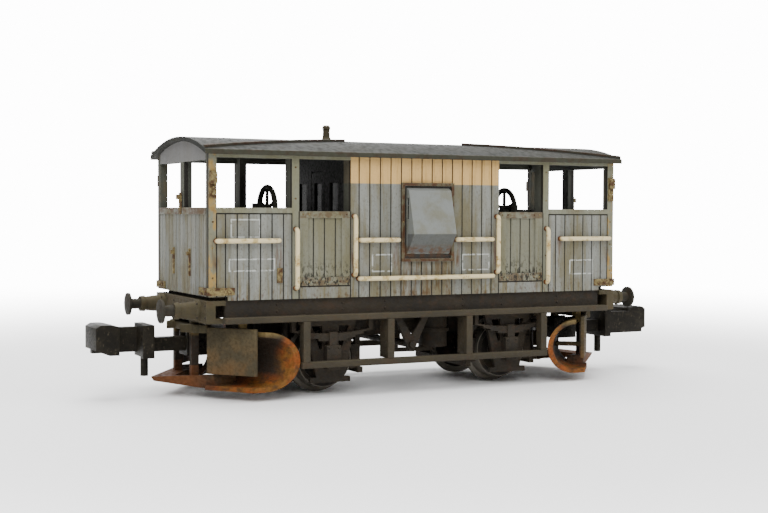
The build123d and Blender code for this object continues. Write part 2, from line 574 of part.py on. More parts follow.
# ---------------------------------------------------------------- hand wheels in the verandas
SPOKES = 5
for end, sx in ENDS:
    with BuildPart() as hand_wheel:
        with BuildSketch(Plane.XZ):
            with Locations((sx * HAND_WHEEL_X, HAND_WHEEL_Z + HAND_WHEEL_R)):
                Circle(HAND_RIM_R)
        revolve(axis=Axis((sx * HAND_WHEEL_X, 0, HAND_WHEEL_Z), (1, 0, 0)))
        rod((sx * (HAND_WHEEL_X - 0.35), 0, HAND_WHEEL_Z), sx * 0.7, 0.5, "X")
        wheel_plane = Plane((sx * HAND_WHEEL_X, 0, HAND_WHEEL_Z), x_dir=(0, 1, 0), z_dir=(1, 0, 0))
        with Locations(wheel_plane):
            with PolarLocations(HAND_WHEEL_R / 2, SPOKES, start_angle=90):
                Box(HAND_WHEEL_R, 0.3, 0.26)
        rod((sx * HAND_WHEEL_X, 0, HAND_WHEEL_Z), sx * (COLUMN_X - HAND_WHEEL_X), SPINDLE_R, "X")
    hand_wheel.part.label = f"hand_wheel_{end}"
    export_step(hand_wheel.part, f"parts/hand_wheel_{end}.step")

    with BuildPart() as wheel_column:
        rod((sx * COLUMN_X, 0, FLOOR_TOP), HAND_WHEEL_Z - FLOOR_TOP, 0.45, "Z")
        rod((sx * COLUMN_X, 0, FLOOR_TOP), 0.35, 1.1, "Z")
        block((sx * (COLUMN_X - 0.45), sx * (COLUMN_X + 0.45)), (-0.55, 0.55),
              (HAND_WHEEL_Z - 0.7, HAND_WHEEL_Z + 0.55))
        rod((sx * (COLUMN_X - 0.5), 0, HAND_WHEEL_Z), sx * 0.55, SPINDLE_R + SPINDLE_CLEAR, "X", Mode.SUBTRACT)
    wheel_column.part.label = f"wheel_column_{end}"
    export_step(wheel_column.part, f"parts/wheel_column_{end}.step")

# ---------------------------------------------------------------- underframe
CROSS_X = (0, WHEELBASE / 2 - 3.95, WHEELBASE / 2 + 3.65, SWING_X)
CENTRE_SILL = (16.3, 1.2)       # half length and half width of the deep centre sill
CENTRE_SILL_Z = 5.5
LONG_Y = (2.4, 3.2)
PLATE_BOTTOM = SILL_Z - 0.4
BEAM_BOTTOM = SOLEBAR_BOTTOM + 0.2
with BuildPart() as underframe:
    run = HEADSTOCK_BACK - GLUE_GAP
    reach = SOLEBAR_IN - GLUE_GAP
    block((-run, run), (-reach, reach), (PLATE_BOTTOM, SILL_Z))
    for sy in (-1, 1):
        block((-run, run), (sy * LONG_Y[0], sy * LONG_Y[1]), (BEAM_BOTTOM, PLATE_BOTTOM))
    block((-CENTRE_SILL[0], CENTRE_SILL[0]), (-CENTRE_SILL[1], CENTRE_SILL[1]), (CENTRE_SILL_Z, PLATE_BOTTOM))
    for x in CROSS_X:
        for sx in (-1, 1):
            block((sx * x - 0.4, sx * x + 0.4), (-reach, reach), (BEAM_BOTTOM, PLATE_BOTTOM))
    for _, sx in ENDS:
        rod((sx * SWING_X, 0, TAIL_Z[1] + SWING_PLAY), SILL_Z - TAIL_Z[1] - SWING_PLAY, BOSS_R, "Z")
        rod((sx * SWING_X, 0, TAIL_Z[1] + SWING_PLAY), 2.0, SCREW_R + SCREW_CLEAR, "Z", Mode.SUBTRACT)
underframe.part.label = "underframe"
export_step(underframe.part, "parts/underframe.step")

for side, sy in SIDES:
    with BuildPart() as solebar:
        run = HEADSTOCK_BACK - GLUE_GAP
        face = sy * SOLEBAR_FACE
        block((-run, run), (face, sy * (SOLEBAR_FACE - SOLEBAR_WEB)), (SOLEBAR_BOTTOM, SILL_Z))
        for z in (SOLEBAR_BOTTOM, SILL_Z - SOLEBAR_FLANGE_T):
            block((-run, run), (face, sy * SOLEBAR_IN), (z, z + SOLEBAR_FLANGE_T))
    solebar.part.label = f"solebar_{side}"
    export_step(solebar.part, f"parts/solebar_{side}.step")

# Headstocks: a channel with its back to the buffers, and two buffer housings.
HOUSING_SPIGOT = 1.4
for end, sx in ENDS:
    with BuildPart() as headstock:
        face = sx * HEADSTOCK_FACE
        block((face, sx * (HEADSTOCK_FACE - HEADSTOCK_WEB)), (-HEADSTOCK_HALF, HEADSTOCK_HALF),
              (SOLEBAR_BOTTOM, SILL_Z))
        for z in (SOLEBAR_BOTTOM, SILL_Z - HEADSTOCK_FLANGE):
            block((face, sx * HEADSTOCK_BACK), (-HEADSTOCK_HALF, HEADSTOCK_HALF), (z, z + HEADSTOCK_FLANGE))
        for sy in (-1, 1):
            with BuildSketch(Plane.XY.offset(BUFFER_Z)):
                with BuildLine():
                    Polyline((face, sy * BUFFER_Y), (face, sy * (BUFFER_Y + 1.04)),
                             (face + sx * 0.35, sy * (BUFFER_Y + 1.04)),
                             (face + sx * 0.45, sy * (BUFFER_Y + 0.92)),
                             (face + sx * (BUFFER_HOUSING - 0.5), sy * (BUFFER_Y + 0.74)),
                             (face + sx * (BUFFER_HOUSING - 0.5), sy * (BUFFER_Y + 0.86)),
                             (face + sx * BUFFER_HOUSING, sy * (BUFFER_Y + 0.82)),
                             (face + sx * BUFFER_HOUSING, sy * BUFFER_Y), close=True)
                make_face()
            revolve(axis=Axis((0, sy * BUFFER_Y, BUFFER_Z), (1, 0, 0)))
            rod((face + sx * BUFFER_HOUSING, sy * BUFFER_Y, BUFFER_Z), -sx * HOUSING_SPIGOT,
                BUFFER_SPIGOT_R + BUFFER_CLEAR, "X", Mode.SUBTRACT)
    headstock.part.label = f"headstock_{end}"
    export_step(headstock.part, f"parts/headstock_{end}.step")

    with BuildPart() as buffers:
        tip = HEADSTOCK_FACE + BUFFER_REACH
        mouth = HEADSTOCK_FACE + BUFFER_HOUSING
        for sy in (-1, 1):
            with BuildSketch(Plane.XY.offset(BUFFER_Z)):
                with BuildLine():
                    edge = Polyline((sx * (mouth - HOUSING_SPIGOT + 0.1), sy * BUFFER_Y),
                                    (sx * (mouth - HOUSING_SPIGOT + 0.1), sy * (BUFFER_Y + BUFFER_SPIGOT_R)),
                                    (sx * mouth, sy * (BUFFER_Y + BUFFER_SPIGOT_R)),
                                    (sx * mouth, sy * (BUFFER_Y + BUFFER_SHANK_R)),
                                    (sx * (tip - 0.55), sy * (BUFFER_Y + BUFFER_SHANK_R)),
                                    (sx * (tip - 0.4), sy * (BUFFER_Y + BUFFER_HEAD_R)),
                                    (sx * (tip - 0.15), sy * (BUFFER_Y + BUFFER_HEAD_R)))
                    Polyline(edge @ 1, (sx * (tip - 0.05), sy * (BUFFER_Y + BUFFER_HEAD_R * 0.55)),
                             (sx * tip, sy * (BUFFER_Y + BUFFER_HEAD_R * 0.2)), (sx * tip, sy * BUFFER_Y),
                             edge @ 0)
                make_face()
            revolve(axis=Axis((0, sy * BUFFER_Y, BUFFER_Z), (1, 0, 0)))
    buffers.part.label = f"buffers_{end}"
    export_step(buffers.part, f"parts/buffers_{end}.step")

# ---------------------------------------------------------------- axleguards, axleboxes and springs
for side, sy in SIDES:
    with BuildPart() as axleguards:
        for _, sx in ENDS:
            cx = sx * AXLE_X
            with BuildSketch(Plane.XZ.offset(-sy * GUARD_IN)):
                with BuildLine():
                    Polyline((cx - GUARD_TOP_HALF, SOLEBAR_BOTTOM), (cx + GUARD_TOP_HALF, SOLEBAR_BOTTOM),
                             (cx + GUARD_FOOT_HALF, GUARD_FOOT_Z), (cx + GUARD_BAR_HALF, GUARD_FOOT_Z),
                             (cx + GUARD_BAR_HALF, GUARD_FOOT_Z - GUARD_BAR_T),
                             (cx - GUARD_BAR_HALF, GUARD_FOOT_Z - GUARD_BAR_T),
                             (cx - GUARD_BAR_HALF, GUARD_FOOT_Z), (cx - GUARD_FOOT_HALF, GUARD_FOOT_Z),
                             close=True)
                make_face()
                for s in (-1, 1):
                    with BuildLine():
                        Polyline((cx + s * (GUARD_TOP_HALF - GUARD_LEG), SOLEBAR_BOTTOM - 0.7),
                                 (cx + s * 0.95, SOLEBAR_BOTTOM - 0.7), (cx + s * 0.95, AXLE_Z + 1.1),
                                 (cx + s * 1.25, AXLE_Z + 1.1), close=True)
                    make_face(mode=Mode.SUBTRACT)
                with Locations((cx, AXLE_Z)):
                    Circle(JOURNAL_R + JOURNAL_CLEAR, mode=Mode.SUBTRACT)
            extrude(amount=-sy * GUARD_T)
    axleguards.part.label = f"axleguards_{side}"
    export_step(axleguards.part, f"parts/axleguards_{side}.step")

    with BuildPart() as springs:
        for _, sx in ENDS:
            cx = sx * AXLE_X
            block((cx - BOX_HALF, cx + BOX_HALF), (sy * GUARD_OUT, sy * BOX_OUT), BOX_Z)
            block((cx - BUCKLE_HALF, cx + BUCKLE_HALF), (sy * GUARD_OUT, sy * (GUARD_OUT + SPRING_T + 0.15)),
                  (BOX_Z[1], SPRING_TOP_Z + 0.15))
            rod((cx, sy * GUARD_OUT, AXLE_Z), sy * (AXLE_HALF - GUARD_OUT + END_PLAY), JOURNAL_R + JOURNAL_CLEAR,
                "Y", Mode.SUBTRACT)
            for i in range(LEAF_COUNT):
                half = SPRING_HALF - i * LEAF_STEP
                rise = SPRING_SAG * (half / SPRING_HALF) ** 2
                top = SPRING_TOP_Z - i * LEAF_T
                with BuildSketch(Plane.XZ.offset(-sy * GUARD_OUT)):
                    with BuildLine():
                        upper = ThreePointArc((cx - half, top + rise), (cx, top), (cx + half, top + rise))
                        lower = ThreePointArc((cx + half, top + rise - LEAF_T), (cx, top - LEAF_T),
                                              (cx - half, top + rise - LEAF_T))
                        Line(upper @ 1, lower @ 0)
                        Line(lower @ 1, upper @ 0)
                    make_face()
                extrude(amount=-sy * SPRING_T)
            for s in (-1, 1):
                block((cx + s * (SPRING_HALF - 0.3), cx + s * (SPRING_HALF + 0.15)),
                      (sy * GUARD_OUT, sy * (GUARD_OUT + SPRING_T)),
                      (SPRING_TOP_Z + SPRING_SAG - LEAF_T, SOLEBAR_BOTTOM))
    springs.part.label = f"axlebox_springs_{side}"
    export_step(springs.part, f"parts/axlebox_springs_{side}.step")

# ---------------------------------------------------------------- wheels and axles
for end, sx in ENDS:
    cx = sx * AXLE_X
    with BuildPart() as axle:
        rod((cx, -AXLE_SHOULDER, AXLE_Z), 2 * AXLE_SHOULDER, AXLE_R, "Y")
        rod((cx, -AXLE_HALF, AXLE_Z), 2 * AXLE_HALF, JOURNAL_R, "Y")
    axle.part.label = f"axle_{end}"
    export_step(axle.part, f"parts/axle_{end}.step")

    with BuildPart() as wheels:
        back = BACK_TO_BACK / 2
        rim = back + WHEEL_WIDTH
        for sy in (-1, 1):
            with BuildSketch(Plane.XY.offset(AXLE_Z)):
                with BuildLine():
                    Polyline((cx + AXLE_R, sy * back), (cx + FLANGE_R - 0.2, sy * back),
                             (cx + FLANGE_R, sy * (back + 0.2)), (cx + FLANGE_R - 0.1, sy * (back + 0.4)),
                             (cx + TREAD_R + 0.08, sy * (back + FLANGE_T)), (cx + TREAD_R - 0.08, sy * rim),
                             (cx + TREAD_R - 0.6, sy * rim), (cx + TREAD_R - 0.75, sy * (rim - 0.55)),
                             (cx + 1.35, sy * (rim - 0.55)), (cx + 1.25, sy * (rim - 0.1)),
                             (cx + AXLE_R, sy * (rim - 0.1)), close=True)
                make_face()
            revolve(axis=Axis((cx, 0, AXLE_Z), (0, 1, 0)))
    wheels.part.label = f"wheels_{end}"
    export_step(wheels.part, f"parts/wheels_{end}.step")

# ---------------------------------------------------------------- footboards
for side, sy in SIDES:
    with BuildPart() as upper_footboard:
        block((-UPPER_BOARD_HALF, UPPER_BOARD_HALF), (sy * BOARD_EDGE, sy * BOARD_IN), UPPER_BOARD_Z)
    upper_footboard.part.label = f"upper_footboard_{side}"
    export_step(upper_footboard.part, f"parts/upper_footboard_{side}.step")

    with BuildPart() as lower_footboard:
        block((-LOWER_BOARD_HALF, LOWER_BOARD_HALF), (sy * BOARD_EDGE, sy * BOARD_IN), LOWER_BOARD_Z)
    lower_footboard.part.label = f"lower_footboard_{side}"
    export_step(lower_footboard.part, f"parts/lower_footboard_{side}.step")

    # Hangers: one piece each, from the solebar out under the upper board and down to the lower one.
    with BuildPart() as hangers:
        inner_x, outer_x = HANGER_X
        for _, sx in ENDS:
            for x in HANGER_X:
                depth = SOLEBAR_FACE - SOLEBAR_WEB if x == inner_x else BOARD_IN
                span = (sx * x - HANGER_T / 2, sx * x + HANGER_T / 2)
                block(span, (sy * BOARD_EDGE, sy * depth), (LOWER_BOARD_Z[1], UPPER_BOARD_Z[0]))
                block(span, (sy * BOARD_IN, sy * SOLEBAR_FACE), (UPPER_BOARD_Z[0] - 0.4, UPPER_BOARD_Z[1]))
    hangers.part.label = f"footboard_hangers_{side}"
    export_step(hangers.part, f"parts/footboard_hangers_{side}.step")

# ---------------------------------------------------------------- brake rigging
with BuildPart() as v_hangers:
    for _, sy in SIDES:
        outer = GUARD_IN
        with BuildSketch(Plane.XZ.offset(-sy * outer)):
            with BuildLine():
                Polyline((V_HANGER_X - V_HANGER_HALF, SOLEBAR_BOTTOM),
                         (V_HANGER_X - V_HANGER_HALF + V_ARM, SOLEBAR_BOTTOM), (V_HANGER_X, SHAFT_Z + 1.0),
                         (V_HANGER_X + V_HANGER_HALF - V_ARM, SOLEBAR_BOTTOM),
                         (V_HANGER_X + V_HANGER_HALF, SOLEBAR_BOTTOM), (V_HANGER_X + 0.6, SHAFT_Z),
                         (V_HANGER_X + 0.25, SHAFT_Z - 0.75), (V_HANGER_X - 0.25, SHAFT_Z - 0.75),
                         (V_HANGER_X - 0.6, SHAFT_Z), close=True)
            make_face()
            with Locations((V_HANGER_X, SHAFT_Z)):
                Circle(SHAFT_R + SHAFT_CLEAR, mode=Mode.SUBTRACT)
        extrude(amount=-sy * V_HANGER_T)
v_hangers.part.label = "v_hangers"
export_step(v_hangers.part, "parts/v_hangers.step")

with BuildPart() as brake_shaft:
    end_y = GUARD_IN + V_HANGER_T + 0.3
    rod((V_HANGER_X, -end_y, SHAFT_Z), 2 * end_y, SHAFT_R, "Y")
    crank_y = CYLINDER_XY[1]
    block((V_HANGER_X - 0.4, CYLINDER_XY[0]), (crank_y - 0.2, crank_y + 0.2), (SHAFT_Z - 1.2, SHAFT_Z - 0.75))
    block((V_HANGER_X - 0.4, V_HANGER_X + 0.4), (crank_y - 0.2, crank_y + 0.2), (SHAFT_Z - 1.2, SHAFT_Z))
brake_shaft.part.label = "brake_shaft"
export_step(brake_shaft.part, "parts/brake_shaft.step")

with BuildPart() as vacuum_cylinder:
    x, y = CYLINDER_XY
    rod((x, y, CYLINDER_Z[0]), BEAM_BOTTOM - CYLINDER_Z[0], CYLINDER_R, "Z")
    rod((x, y, CYLINDER_Z[0] + 1.7), 0.4, CYLINDER_R + 0.2, "Z")
vacuum_cylinder.part.label = "vacuum_cylinder"
export_step(vacuum_cylinder.part, "parts/vacuum_cylinder.step")

# Each axle has two sets of brake blocks, one each side of its wheels.
for end, sx in ENDS:
    cx = sx * AXLE_X
    with BuildPart() as brake_gear:
        for s in (-1, 1):
            rub = TREAD_R + SHOE_GAP
            for sy in (-1, 1):
                y_in = BACK_TO_BACK / 2 + FLANGE_T + 0.2
                block((cx + s * (rub - 0.35), cx + s * (rub + SHOE_T)), (sy * y_in, sy * (y_in + SHOE_WIDTH)),
                      (AXLE_Z - 1.3, AXLE_Z + 1.3))
                block((cx + s * (rub + 0.55), cx + s * (rub + 1.15)), (sy * (y_in + 0.3), sy * (y_in + 0.8)),
                      (AXLE_Z - 1.7, BEAM_BOTTOM))
            block((cx + s * (rub + 0.55), cx + s * (rub + 1.15)), (-YOKE_HALF, YOKE_HALF),
                  (AXLE_Z - 1.75, AXLE_Z - 1.15))
            block((cx + s * (rub + 0.55), cx + s * (rub + 2.6)), (-0.6, 0.6), (AXLE_Z - 1.5, AXLE_Z - 1.15))
        rod((cx, -YOKE_HALF, AXLE_Z), 2 * YOKE_HALF, TREAD_R + SHOE_GAP, "Y", Mode.SUBTRACT)
    brake_gear.part.label = f"brake_gear_{end}"
    export_step(brake_gear.part, f"parts/brake_gear_{end}.step")

# ---------------------------------------------------------------- ploughs
BLADE_Z = PLOUGH_BOTTOM + PLOUGH_R
for end, sx in ENDS:
    with BuildPart() as plough:
        for sy in (-1, 1):
            # the curved blade, drawn square to the wing and run outwards past its end
            start = wing_point(WING_IN, 0)
            along = (-sx * WING_COS, sy * WING_SIN, 0)
            behind = (-sx * WING_SIN, -sy * WING_COS, 0)
            across = Plane((sx * start[0], sy * start[1], 0), x_dir=behind, z_dir=along)
            up = across.y_dir.Z
            with BuildSketch(across):
                with BuildLine():
                    top = up * (BLADE_Z + PLOUGH_R)
                    low = up * PLOUGH_BOTTOM
                    outer = ThreePointArc((MOUTH_SET, top), (MOUTH_SET + PLOUGH_R, up * BLADE_Z), (MOUTH_SET, low))
                    inner = ThreePointArc((MOUTH_SET, low + up * PLOUGH_T),
                                          (MOUTH_SET + PLOUGH_R - PLOUGH_T, up * BLADE_Z),
                                          (MOUTH_SET, top - up * PLOUGH_T))
                    lip = Polyline(outer @ 1, (MOUTH_SET - PLOUGH_LIP, low),
                                   (MOUTH_SET - PLOUGH_LIP, low + up * PLOUGH_T), inner @ 0)
                    Line(inner @ 1, outer @ 0)
                make_face()
            extrude(amount=(WING_OUT - WING_IN) / WING_SIN + PLOUGH_R)
            # hanger from the top of the blade to the solebar
            hx, hy = wing_point(7.6, MOUTH_SET + 0.1)
            block((sx * (hx - 0.35), sx * (hx + 0.35)), (sy * (hy - 0.35), sy * (hy + 0.35)),
                  (BLADE_Z + PLOUGH_R - PLOUGH_T, SOLEBAR_BOTTOM))
        # blades end on a plane parallel to the side
        for sy in (-1, 1):
            block((0, sx * 2 * APEX_X), (sy * WING_OUT, sy * (WING_OUT + 4 * PLOUGH_R)),
                  (0, 2 * PLOUGH_R + PLOUGH_BOTTOM + 1), Mode.SUBTRACT)
        # low nose between the blades: it thins towards the point
        for sy in (-1, 1):
            for y, (low, high) in ((0, NOSE_TIP_Z), (NOSE_RUN, NOSE_WING_Z)):
                tip_x = NOSE_TIP_X if y == 0 else APEX_X - y * WING_RUN
                with BuildSketch(Plane.XZ.offset(-sy * y)):
                    with BuildLine():
                        Polyline((sx * tip_x, high), (sx * (tip_x - NOSE_DEPTH), high),
                                 (sx * (tip_x - NOSE_DEPTH), low), (sx * (tip_x - 0.3), low), close=True)
                    make_face()
            loft(ruled=True)
        # arms that stand on the nose and carry the frame
        for sy in (-1, 1):
            block((sx * BEAM_X[0], sx * BEAM_X[1]), (sy * ARM_Y[0], sy * ARM_Y[1]), (NOSE_TIP_Z[0], BEAM_Z[0]))
    plough.part.label = f"plough_{end}"
    export_step(plough.part, f"parts/plough_{end}.step")

    with BuildPart() as plough_plates:
        for sy in (-1, 1):
            near, far = wing_point(PLATE_IN, -PLATE_T / 2), wing_point(WING_OUT, -PLATE_T / 2)
            near_back, far_back = wing_point(PLATE_IN, PLATE_T / 2), wing_point(WING_OUT, PLATE_T / 2)
            with BuildSketch(Plane.XY.offset(PLATE_Z[0])):
                with BuildLine():
                    Polyline(*[(sx * x, sy * y) for x, y in (near, far, far_back, near_back)], close=True)
                make_face()
            extrude(amount=PLATE_Z[1] - PLATE_Z[0])
            # rib from the plate's back to the blade
            rib = [wing_point(RIB_REACH, 0), wing_point(RIB_REACH + BRACE_T, 0)]
            depth = MOUTH_SET + PLOUGH_R - PLOUGH_T - GLUE_GAP
            rib += [wing_point(RIB_REACH + BRACE_T, depth), wing_point(RIB_REACH, depth)]
            with BuildSketch(Plane.XY.offset(BLADE_Z - RIB_HALF_H)):
                with BuildLine():
                    Polyline(*[(sx * x, sy * y) for x, y in rib], close=True)
                make_face()
            extrude(amount=2 * RIB_HALF_H)
    plough_plates.part.label = f"plough_plates_{end}"
    export_step(plough_plates.part, f"parts/plough_plates_{end}.step")

    # Frame: a cross beam under the headstock and a brace along the mouth line to each plate.
    with BuildPart() as plough_frame:
        beam = (sx * BEAM_X[0], sx * BEAM_X[1])
        block(beam, (-BEAM_HALF, BEAM_HALF), BEAM_Z)
        for sy in (-1, 1):
            block(beam, (sy * ARM_Y[0], sy * ARM_Y[1]), (BEAM_Z[0], SOLEBAR_BOTTOM))
            near, far = wing_point(BRACE_IN, -PLATE_T / 2), wing_point(PLATE_IN, -PLATE_T / 2)
            far_back = wing_point(PLATE_IN, BRACE_T)
            near_back = wing_point(BRACE_IN + BRACE_T, BRACE_T)
            with BuildSketch(Plane.XY.offset(BEAM_Z[0])):
                with BuildLine():
                    Polyline(*[(sx * x, sy * y) for x, y in (near, far, far_back, near_back)], close=True)
                make_face()
            extrude(amount=BEAM_Z[1] - BEAM_Z[0])
    plough_frame.part.label = f"plough_frame_{end}"
    export_step(plough_frame.part, f"parts/plough_frame_{end}.step")

# ---------------------------------------------------------------- couplers
# The pocket swings on a screw under the floor; the hook lifts on two trunnions in the pocket.
with BuildPart() as pocket_front:
    block((-POCKET_X[1], -POCKET_X[0]), (-POCKET_HALF, POCKET_HALF), POCKET_Z)
    cavity_half = SHANK_HALF + SHANK_CLEAR
    cavity = (SHANK_Z - SHANK_H / 2 - GLUE_GAP, SHANK_Z + SHANK_H / 2 + 2 * SHANK_CLEAR)
    block((-POCKET_X[1], -POCKET_X[0] - POCKET_WALL), (-cavity_half, cavity_half), cavity, Mode.SUBTRACT)
    block((-POCKET_X[1], -POCKET_ROOF_X), (-cavity_half, cavity_half), (SHANK_Z, POCKET_Z[1]), Mode.SUBTRACT)
    rod((-LIFT_X, -POCKET_HALF, SHANK_Z), 2 * POCKET_HALF, TRUNNION_R + TRUNNION_CLEAR, "Y", Mode.SUBTRACT)
    block((-POCKET_X[0], -SWING_X), (-TAIL_HALF, TAIL_HALF), TAIL_Z)
    rod((-SWING_X, 0, TAIL_Z[0]), TAIL_Z[1] - TAIL_Z[0], TAIL_R, "Z")
    rod((-SWING_X, 0, TAIL_Z[0]), TAIL_Z[1] - TAIL_Z[0], SCREW_R + SCREW_CLEAR, "Z", Mode.SUBTRACT)

CROSSBAR_X = (HALF_L + 3.65, HALF_L + 4.5)
CROSSBAR_Z = (4.15, 7.55)
CROSSBAR_STEP = 0.35
HEAD_X = (HALF_L + 7.3, HALF_L + 9.7)
HEAD_HALF = 2.2
HEAD_Z = (4.6, 7.7)
LINK_T = 0.9
LINK_Z = (4.55, 7.15)
NOTCH = 0.5
PIN_X = HALF_L + 4.1
PIN_R = 0.4
PIN_BOTTOM = 2.15
with BuildPart() as hook_front:
    with BuildSketch(Plane.XZ.offset(-SHANK_HALF)):
        with BuildLine():
            shank = Polyline((-LIFT_X, SHANK_Z + SHANK_H / 2), (-CROSSBAR_X[1] + 0.1, SHANK_Z + SHANK_H / 2),
                             (-CROSSBAR_X[1] + 0.1, SHANK_Z - SHANK_H / 2), (-LIFT_X, SHANK_Z - SHANK_H / 2))
            ThreePointArc(shank @ 1, (-LIFT_X + SHANK_H / 2, SHANK_Z), shank @ 0)
        make_face()
    extrude(amount=2 * SHANK_HALF)
    rod((-LIFT_X, -POCKET_HALF, SHANK_Z), 2 * POCKET_HALF, TRUNNION_R, "Y")
    # crossbar, thicker at its free end, then the link to the head along one side
    block((-CROSSBAR_X[1], -CROSSBAR_X[0]), (-HEAD_HALF, HEAD_HALF), CROSSBAR_Z)
    block((-CROSSBAR_X[1] - CROSSBAR_STEP, -CROSSBAR_X[1]), (-HEAD_HALF, -HEAD_HALF + LINK_T), CROSSBAR_Z)
    block((-HEAD_X[1] + NOTCH, -CROSSBAR_X[0]), (HEAD_HALF - LINK_T, HEAD_HALF), LINK_Z)
    # hook head: a nose that is cut back below, so that it rides up over its mate
    with BuildSketch(Plane.XZ.offset(-HEAD_HALF)):
        with BuildLine():
            Polyline((-HEAD_X[0], HEAD_Z[0]), (-HEAD_X[0], HEAD_Z[1] - 0.2), (-HEAD_X[0] - 0.9, HEAD_Z[1]),
                     (-HEAD_X[1] + 0.5, HEAD_Z[1]), (-HEAD_X[1], HEAD_Z[1] - 0.3),
                     (-HEAD_X[1], HEAD_Z[0] + 0.55), (-HEAD_X[0] - 1.0, HEAD_Z[0]), close=True)
        make_face()
    extrude(amount=2 * HEAD_HALF)
    # notch in the head's upper edge on the link's side
    with BuildSketch(Plane.XZ.offset(-HEAD_HALF)):
        with BuildLine():
            Polyline((-HEAD_X[0] - NOTCH, HEAD_Z[1] + 0.1), (-HEAD_X[0] + 0.1, HEAD_Z[1] + 0.1),
                     (-HEAD_X[0] + 0.1, HEAD_Z[1] - 2 * NOTCH), close=True)
        make_face()
    extrude(amount=LINK_T, mode=Mode.SUBTRACT)
    # uncoupling pin
    rod((-PIN_X, 0, PIN_BOTTOM), CROSSBAR_Z[0] - PIN_BOTTOM + 0.3, PIN_R, "Z")

for end, sx in ENDS:
    turn = 0 if sx < 0 else 180
    with BuildPart() as coupler_pocket:
        add(pocket_front.part.rotate(Axis.Z, turn))
    coupler_pocket.part.label = f"coupler_pocket_{end}"
    export_step(coupler_pocket.part, f"parts/coupler_pocket_{end}.step")
    with BuildPart() as coupler_hook:
        add(hook_front.part.rotate(Axis.Z, turn))
    coupler_hook.part.label = f"coupler_hook_{end}"
    export_step(coupler_hook.part, f"parts/coupler_hook_{end}.step")

with BuildPart() as coupler_screws:
    for _, sx in ENDS:
        head_z = TAIL_Z[0] - SWING_PLAY
        rod((sx * SWING_X, 0, head_z), -SCREW_HEAD_T, SCREW_HEAD_R, "Z")
        rod((sx * SWING_X, 0, head_z - SCREW_HEAD_T), SCREW_HEAD_T + 2.5, SCREW_R, "Z")
        block((sx * SWING_X - SCREW_HEAD_R, sx * SWING_X + SCREW_HEAD_R), (-0.12, 0.12),
              (head_z - SCREW_HEAD_T, head_z - SCREW_HEAD_T + 0.2), Mode.SUBTRACT)
coupler_screws.part.label = "coupler_screws"
export_step(coupler_screws.part, "parts/coupler_screws.step")
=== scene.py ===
"""N gauge brake van with ballast ploughs: finishes, small fittings, camera and light for the CAD frame."""

import json
import logging
import math
from dataclasses import dataclass, field
from enum import Enum
from typing import Any

import bmesh
import bpy
from mathutils import Matrix, Vector


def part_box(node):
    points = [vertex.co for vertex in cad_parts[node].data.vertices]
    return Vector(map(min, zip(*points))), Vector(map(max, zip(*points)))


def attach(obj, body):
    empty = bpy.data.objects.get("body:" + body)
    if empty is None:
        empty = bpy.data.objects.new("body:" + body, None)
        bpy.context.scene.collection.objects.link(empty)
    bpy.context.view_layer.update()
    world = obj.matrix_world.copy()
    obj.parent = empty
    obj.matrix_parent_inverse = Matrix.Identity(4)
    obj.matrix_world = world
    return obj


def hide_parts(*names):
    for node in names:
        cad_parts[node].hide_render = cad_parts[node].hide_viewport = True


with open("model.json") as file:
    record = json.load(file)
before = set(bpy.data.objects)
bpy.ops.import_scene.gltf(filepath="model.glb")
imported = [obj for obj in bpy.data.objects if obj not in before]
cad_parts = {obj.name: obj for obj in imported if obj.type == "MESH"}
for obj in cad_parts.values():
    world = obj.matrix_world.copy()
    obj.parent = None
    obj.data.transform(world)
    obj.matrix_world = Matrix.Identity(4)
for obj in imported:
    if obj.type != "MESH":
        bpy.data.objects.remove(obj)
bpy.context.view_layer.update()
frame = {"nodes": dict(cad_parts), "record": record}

LOG = logging.getLogger("brake_van")
MM = 0.001
ABOVE_ALL = 30.0  # a height over the whole vehicle, in millimetres

Tree = bpy.types.NodeTree
Node = bpy.types.Node
Socket = bpy.types.NodeSocket
Spot = tuple[Vector, Vector]


def linear(code: str) -> tuple[float, float, float, float]:
    """Turn an sRGB hex colour into the linear RGBA that a shader socket takes.

    Args:
        code: Colour such as "#8f9190".

    Returns:
        Linear red, green, blue and an alpha of 1.
    """
    parts = [int(code[i : i + 2], 16) / 255 for i in (1, 3, 5)]
    done = [c / 12.92 if c <= 0.04045 else ((c + 0.055) / 1.055) ** 2.4 for c in parts]
    return (done[0], done[1], done[2], 1.0)


def reach(node: str, axis: int) -> float:
    """Give how far a CAD node reaches from the middle along an axis.

    Args:
        node: CAD node name.
        axis: 0, 1 or 2 for X, Y or Z.

    Returns:
        The distance in millimetres.
    """
    low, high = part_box(node)
    return max(-low[axis], high[axis]) / MM


def middle(node: str, axis: int) -> float:
    """Give the middle of a CAD node's box along an axis.

    Args:
        node: CAD node name.
        axis: 0, 1 or 2 for X, Y or Z.

    Returns:
        The place in millimetres.
    """
    low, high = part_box(node)
    return (low[axis] + high[axis]) / 2 / MM


def add_node(tree: Tree, kind: str, settings: dict[str, Any] | None = None,
             links: dict[int | str, Any] | None = None) -> Node:
    """Add one node with its settings, and link or set its inputs.

    Args:
        tree: Node tree that takes the node.
        kind: Blender's type name of the node.
        settings: Node properties to set before its inputs.
        links: Input name or number, with a node, a socket or a plain value.

    Returns:
        The new node.
    """
    node = tree.nodes.new(kind)
    for name, value in (settings or {}).items():
        setattr(node, name, value)
    for key, value in (links or {}).items():
        if isinstance(value, Node):
            tree.links.new(value.outputs[0], node.inputs[key])
        elif isinstance(value, Socket):
            tree.links.new(value, node.inputs[key])
        else:
            node.inputs[key].default_value = value
    return node


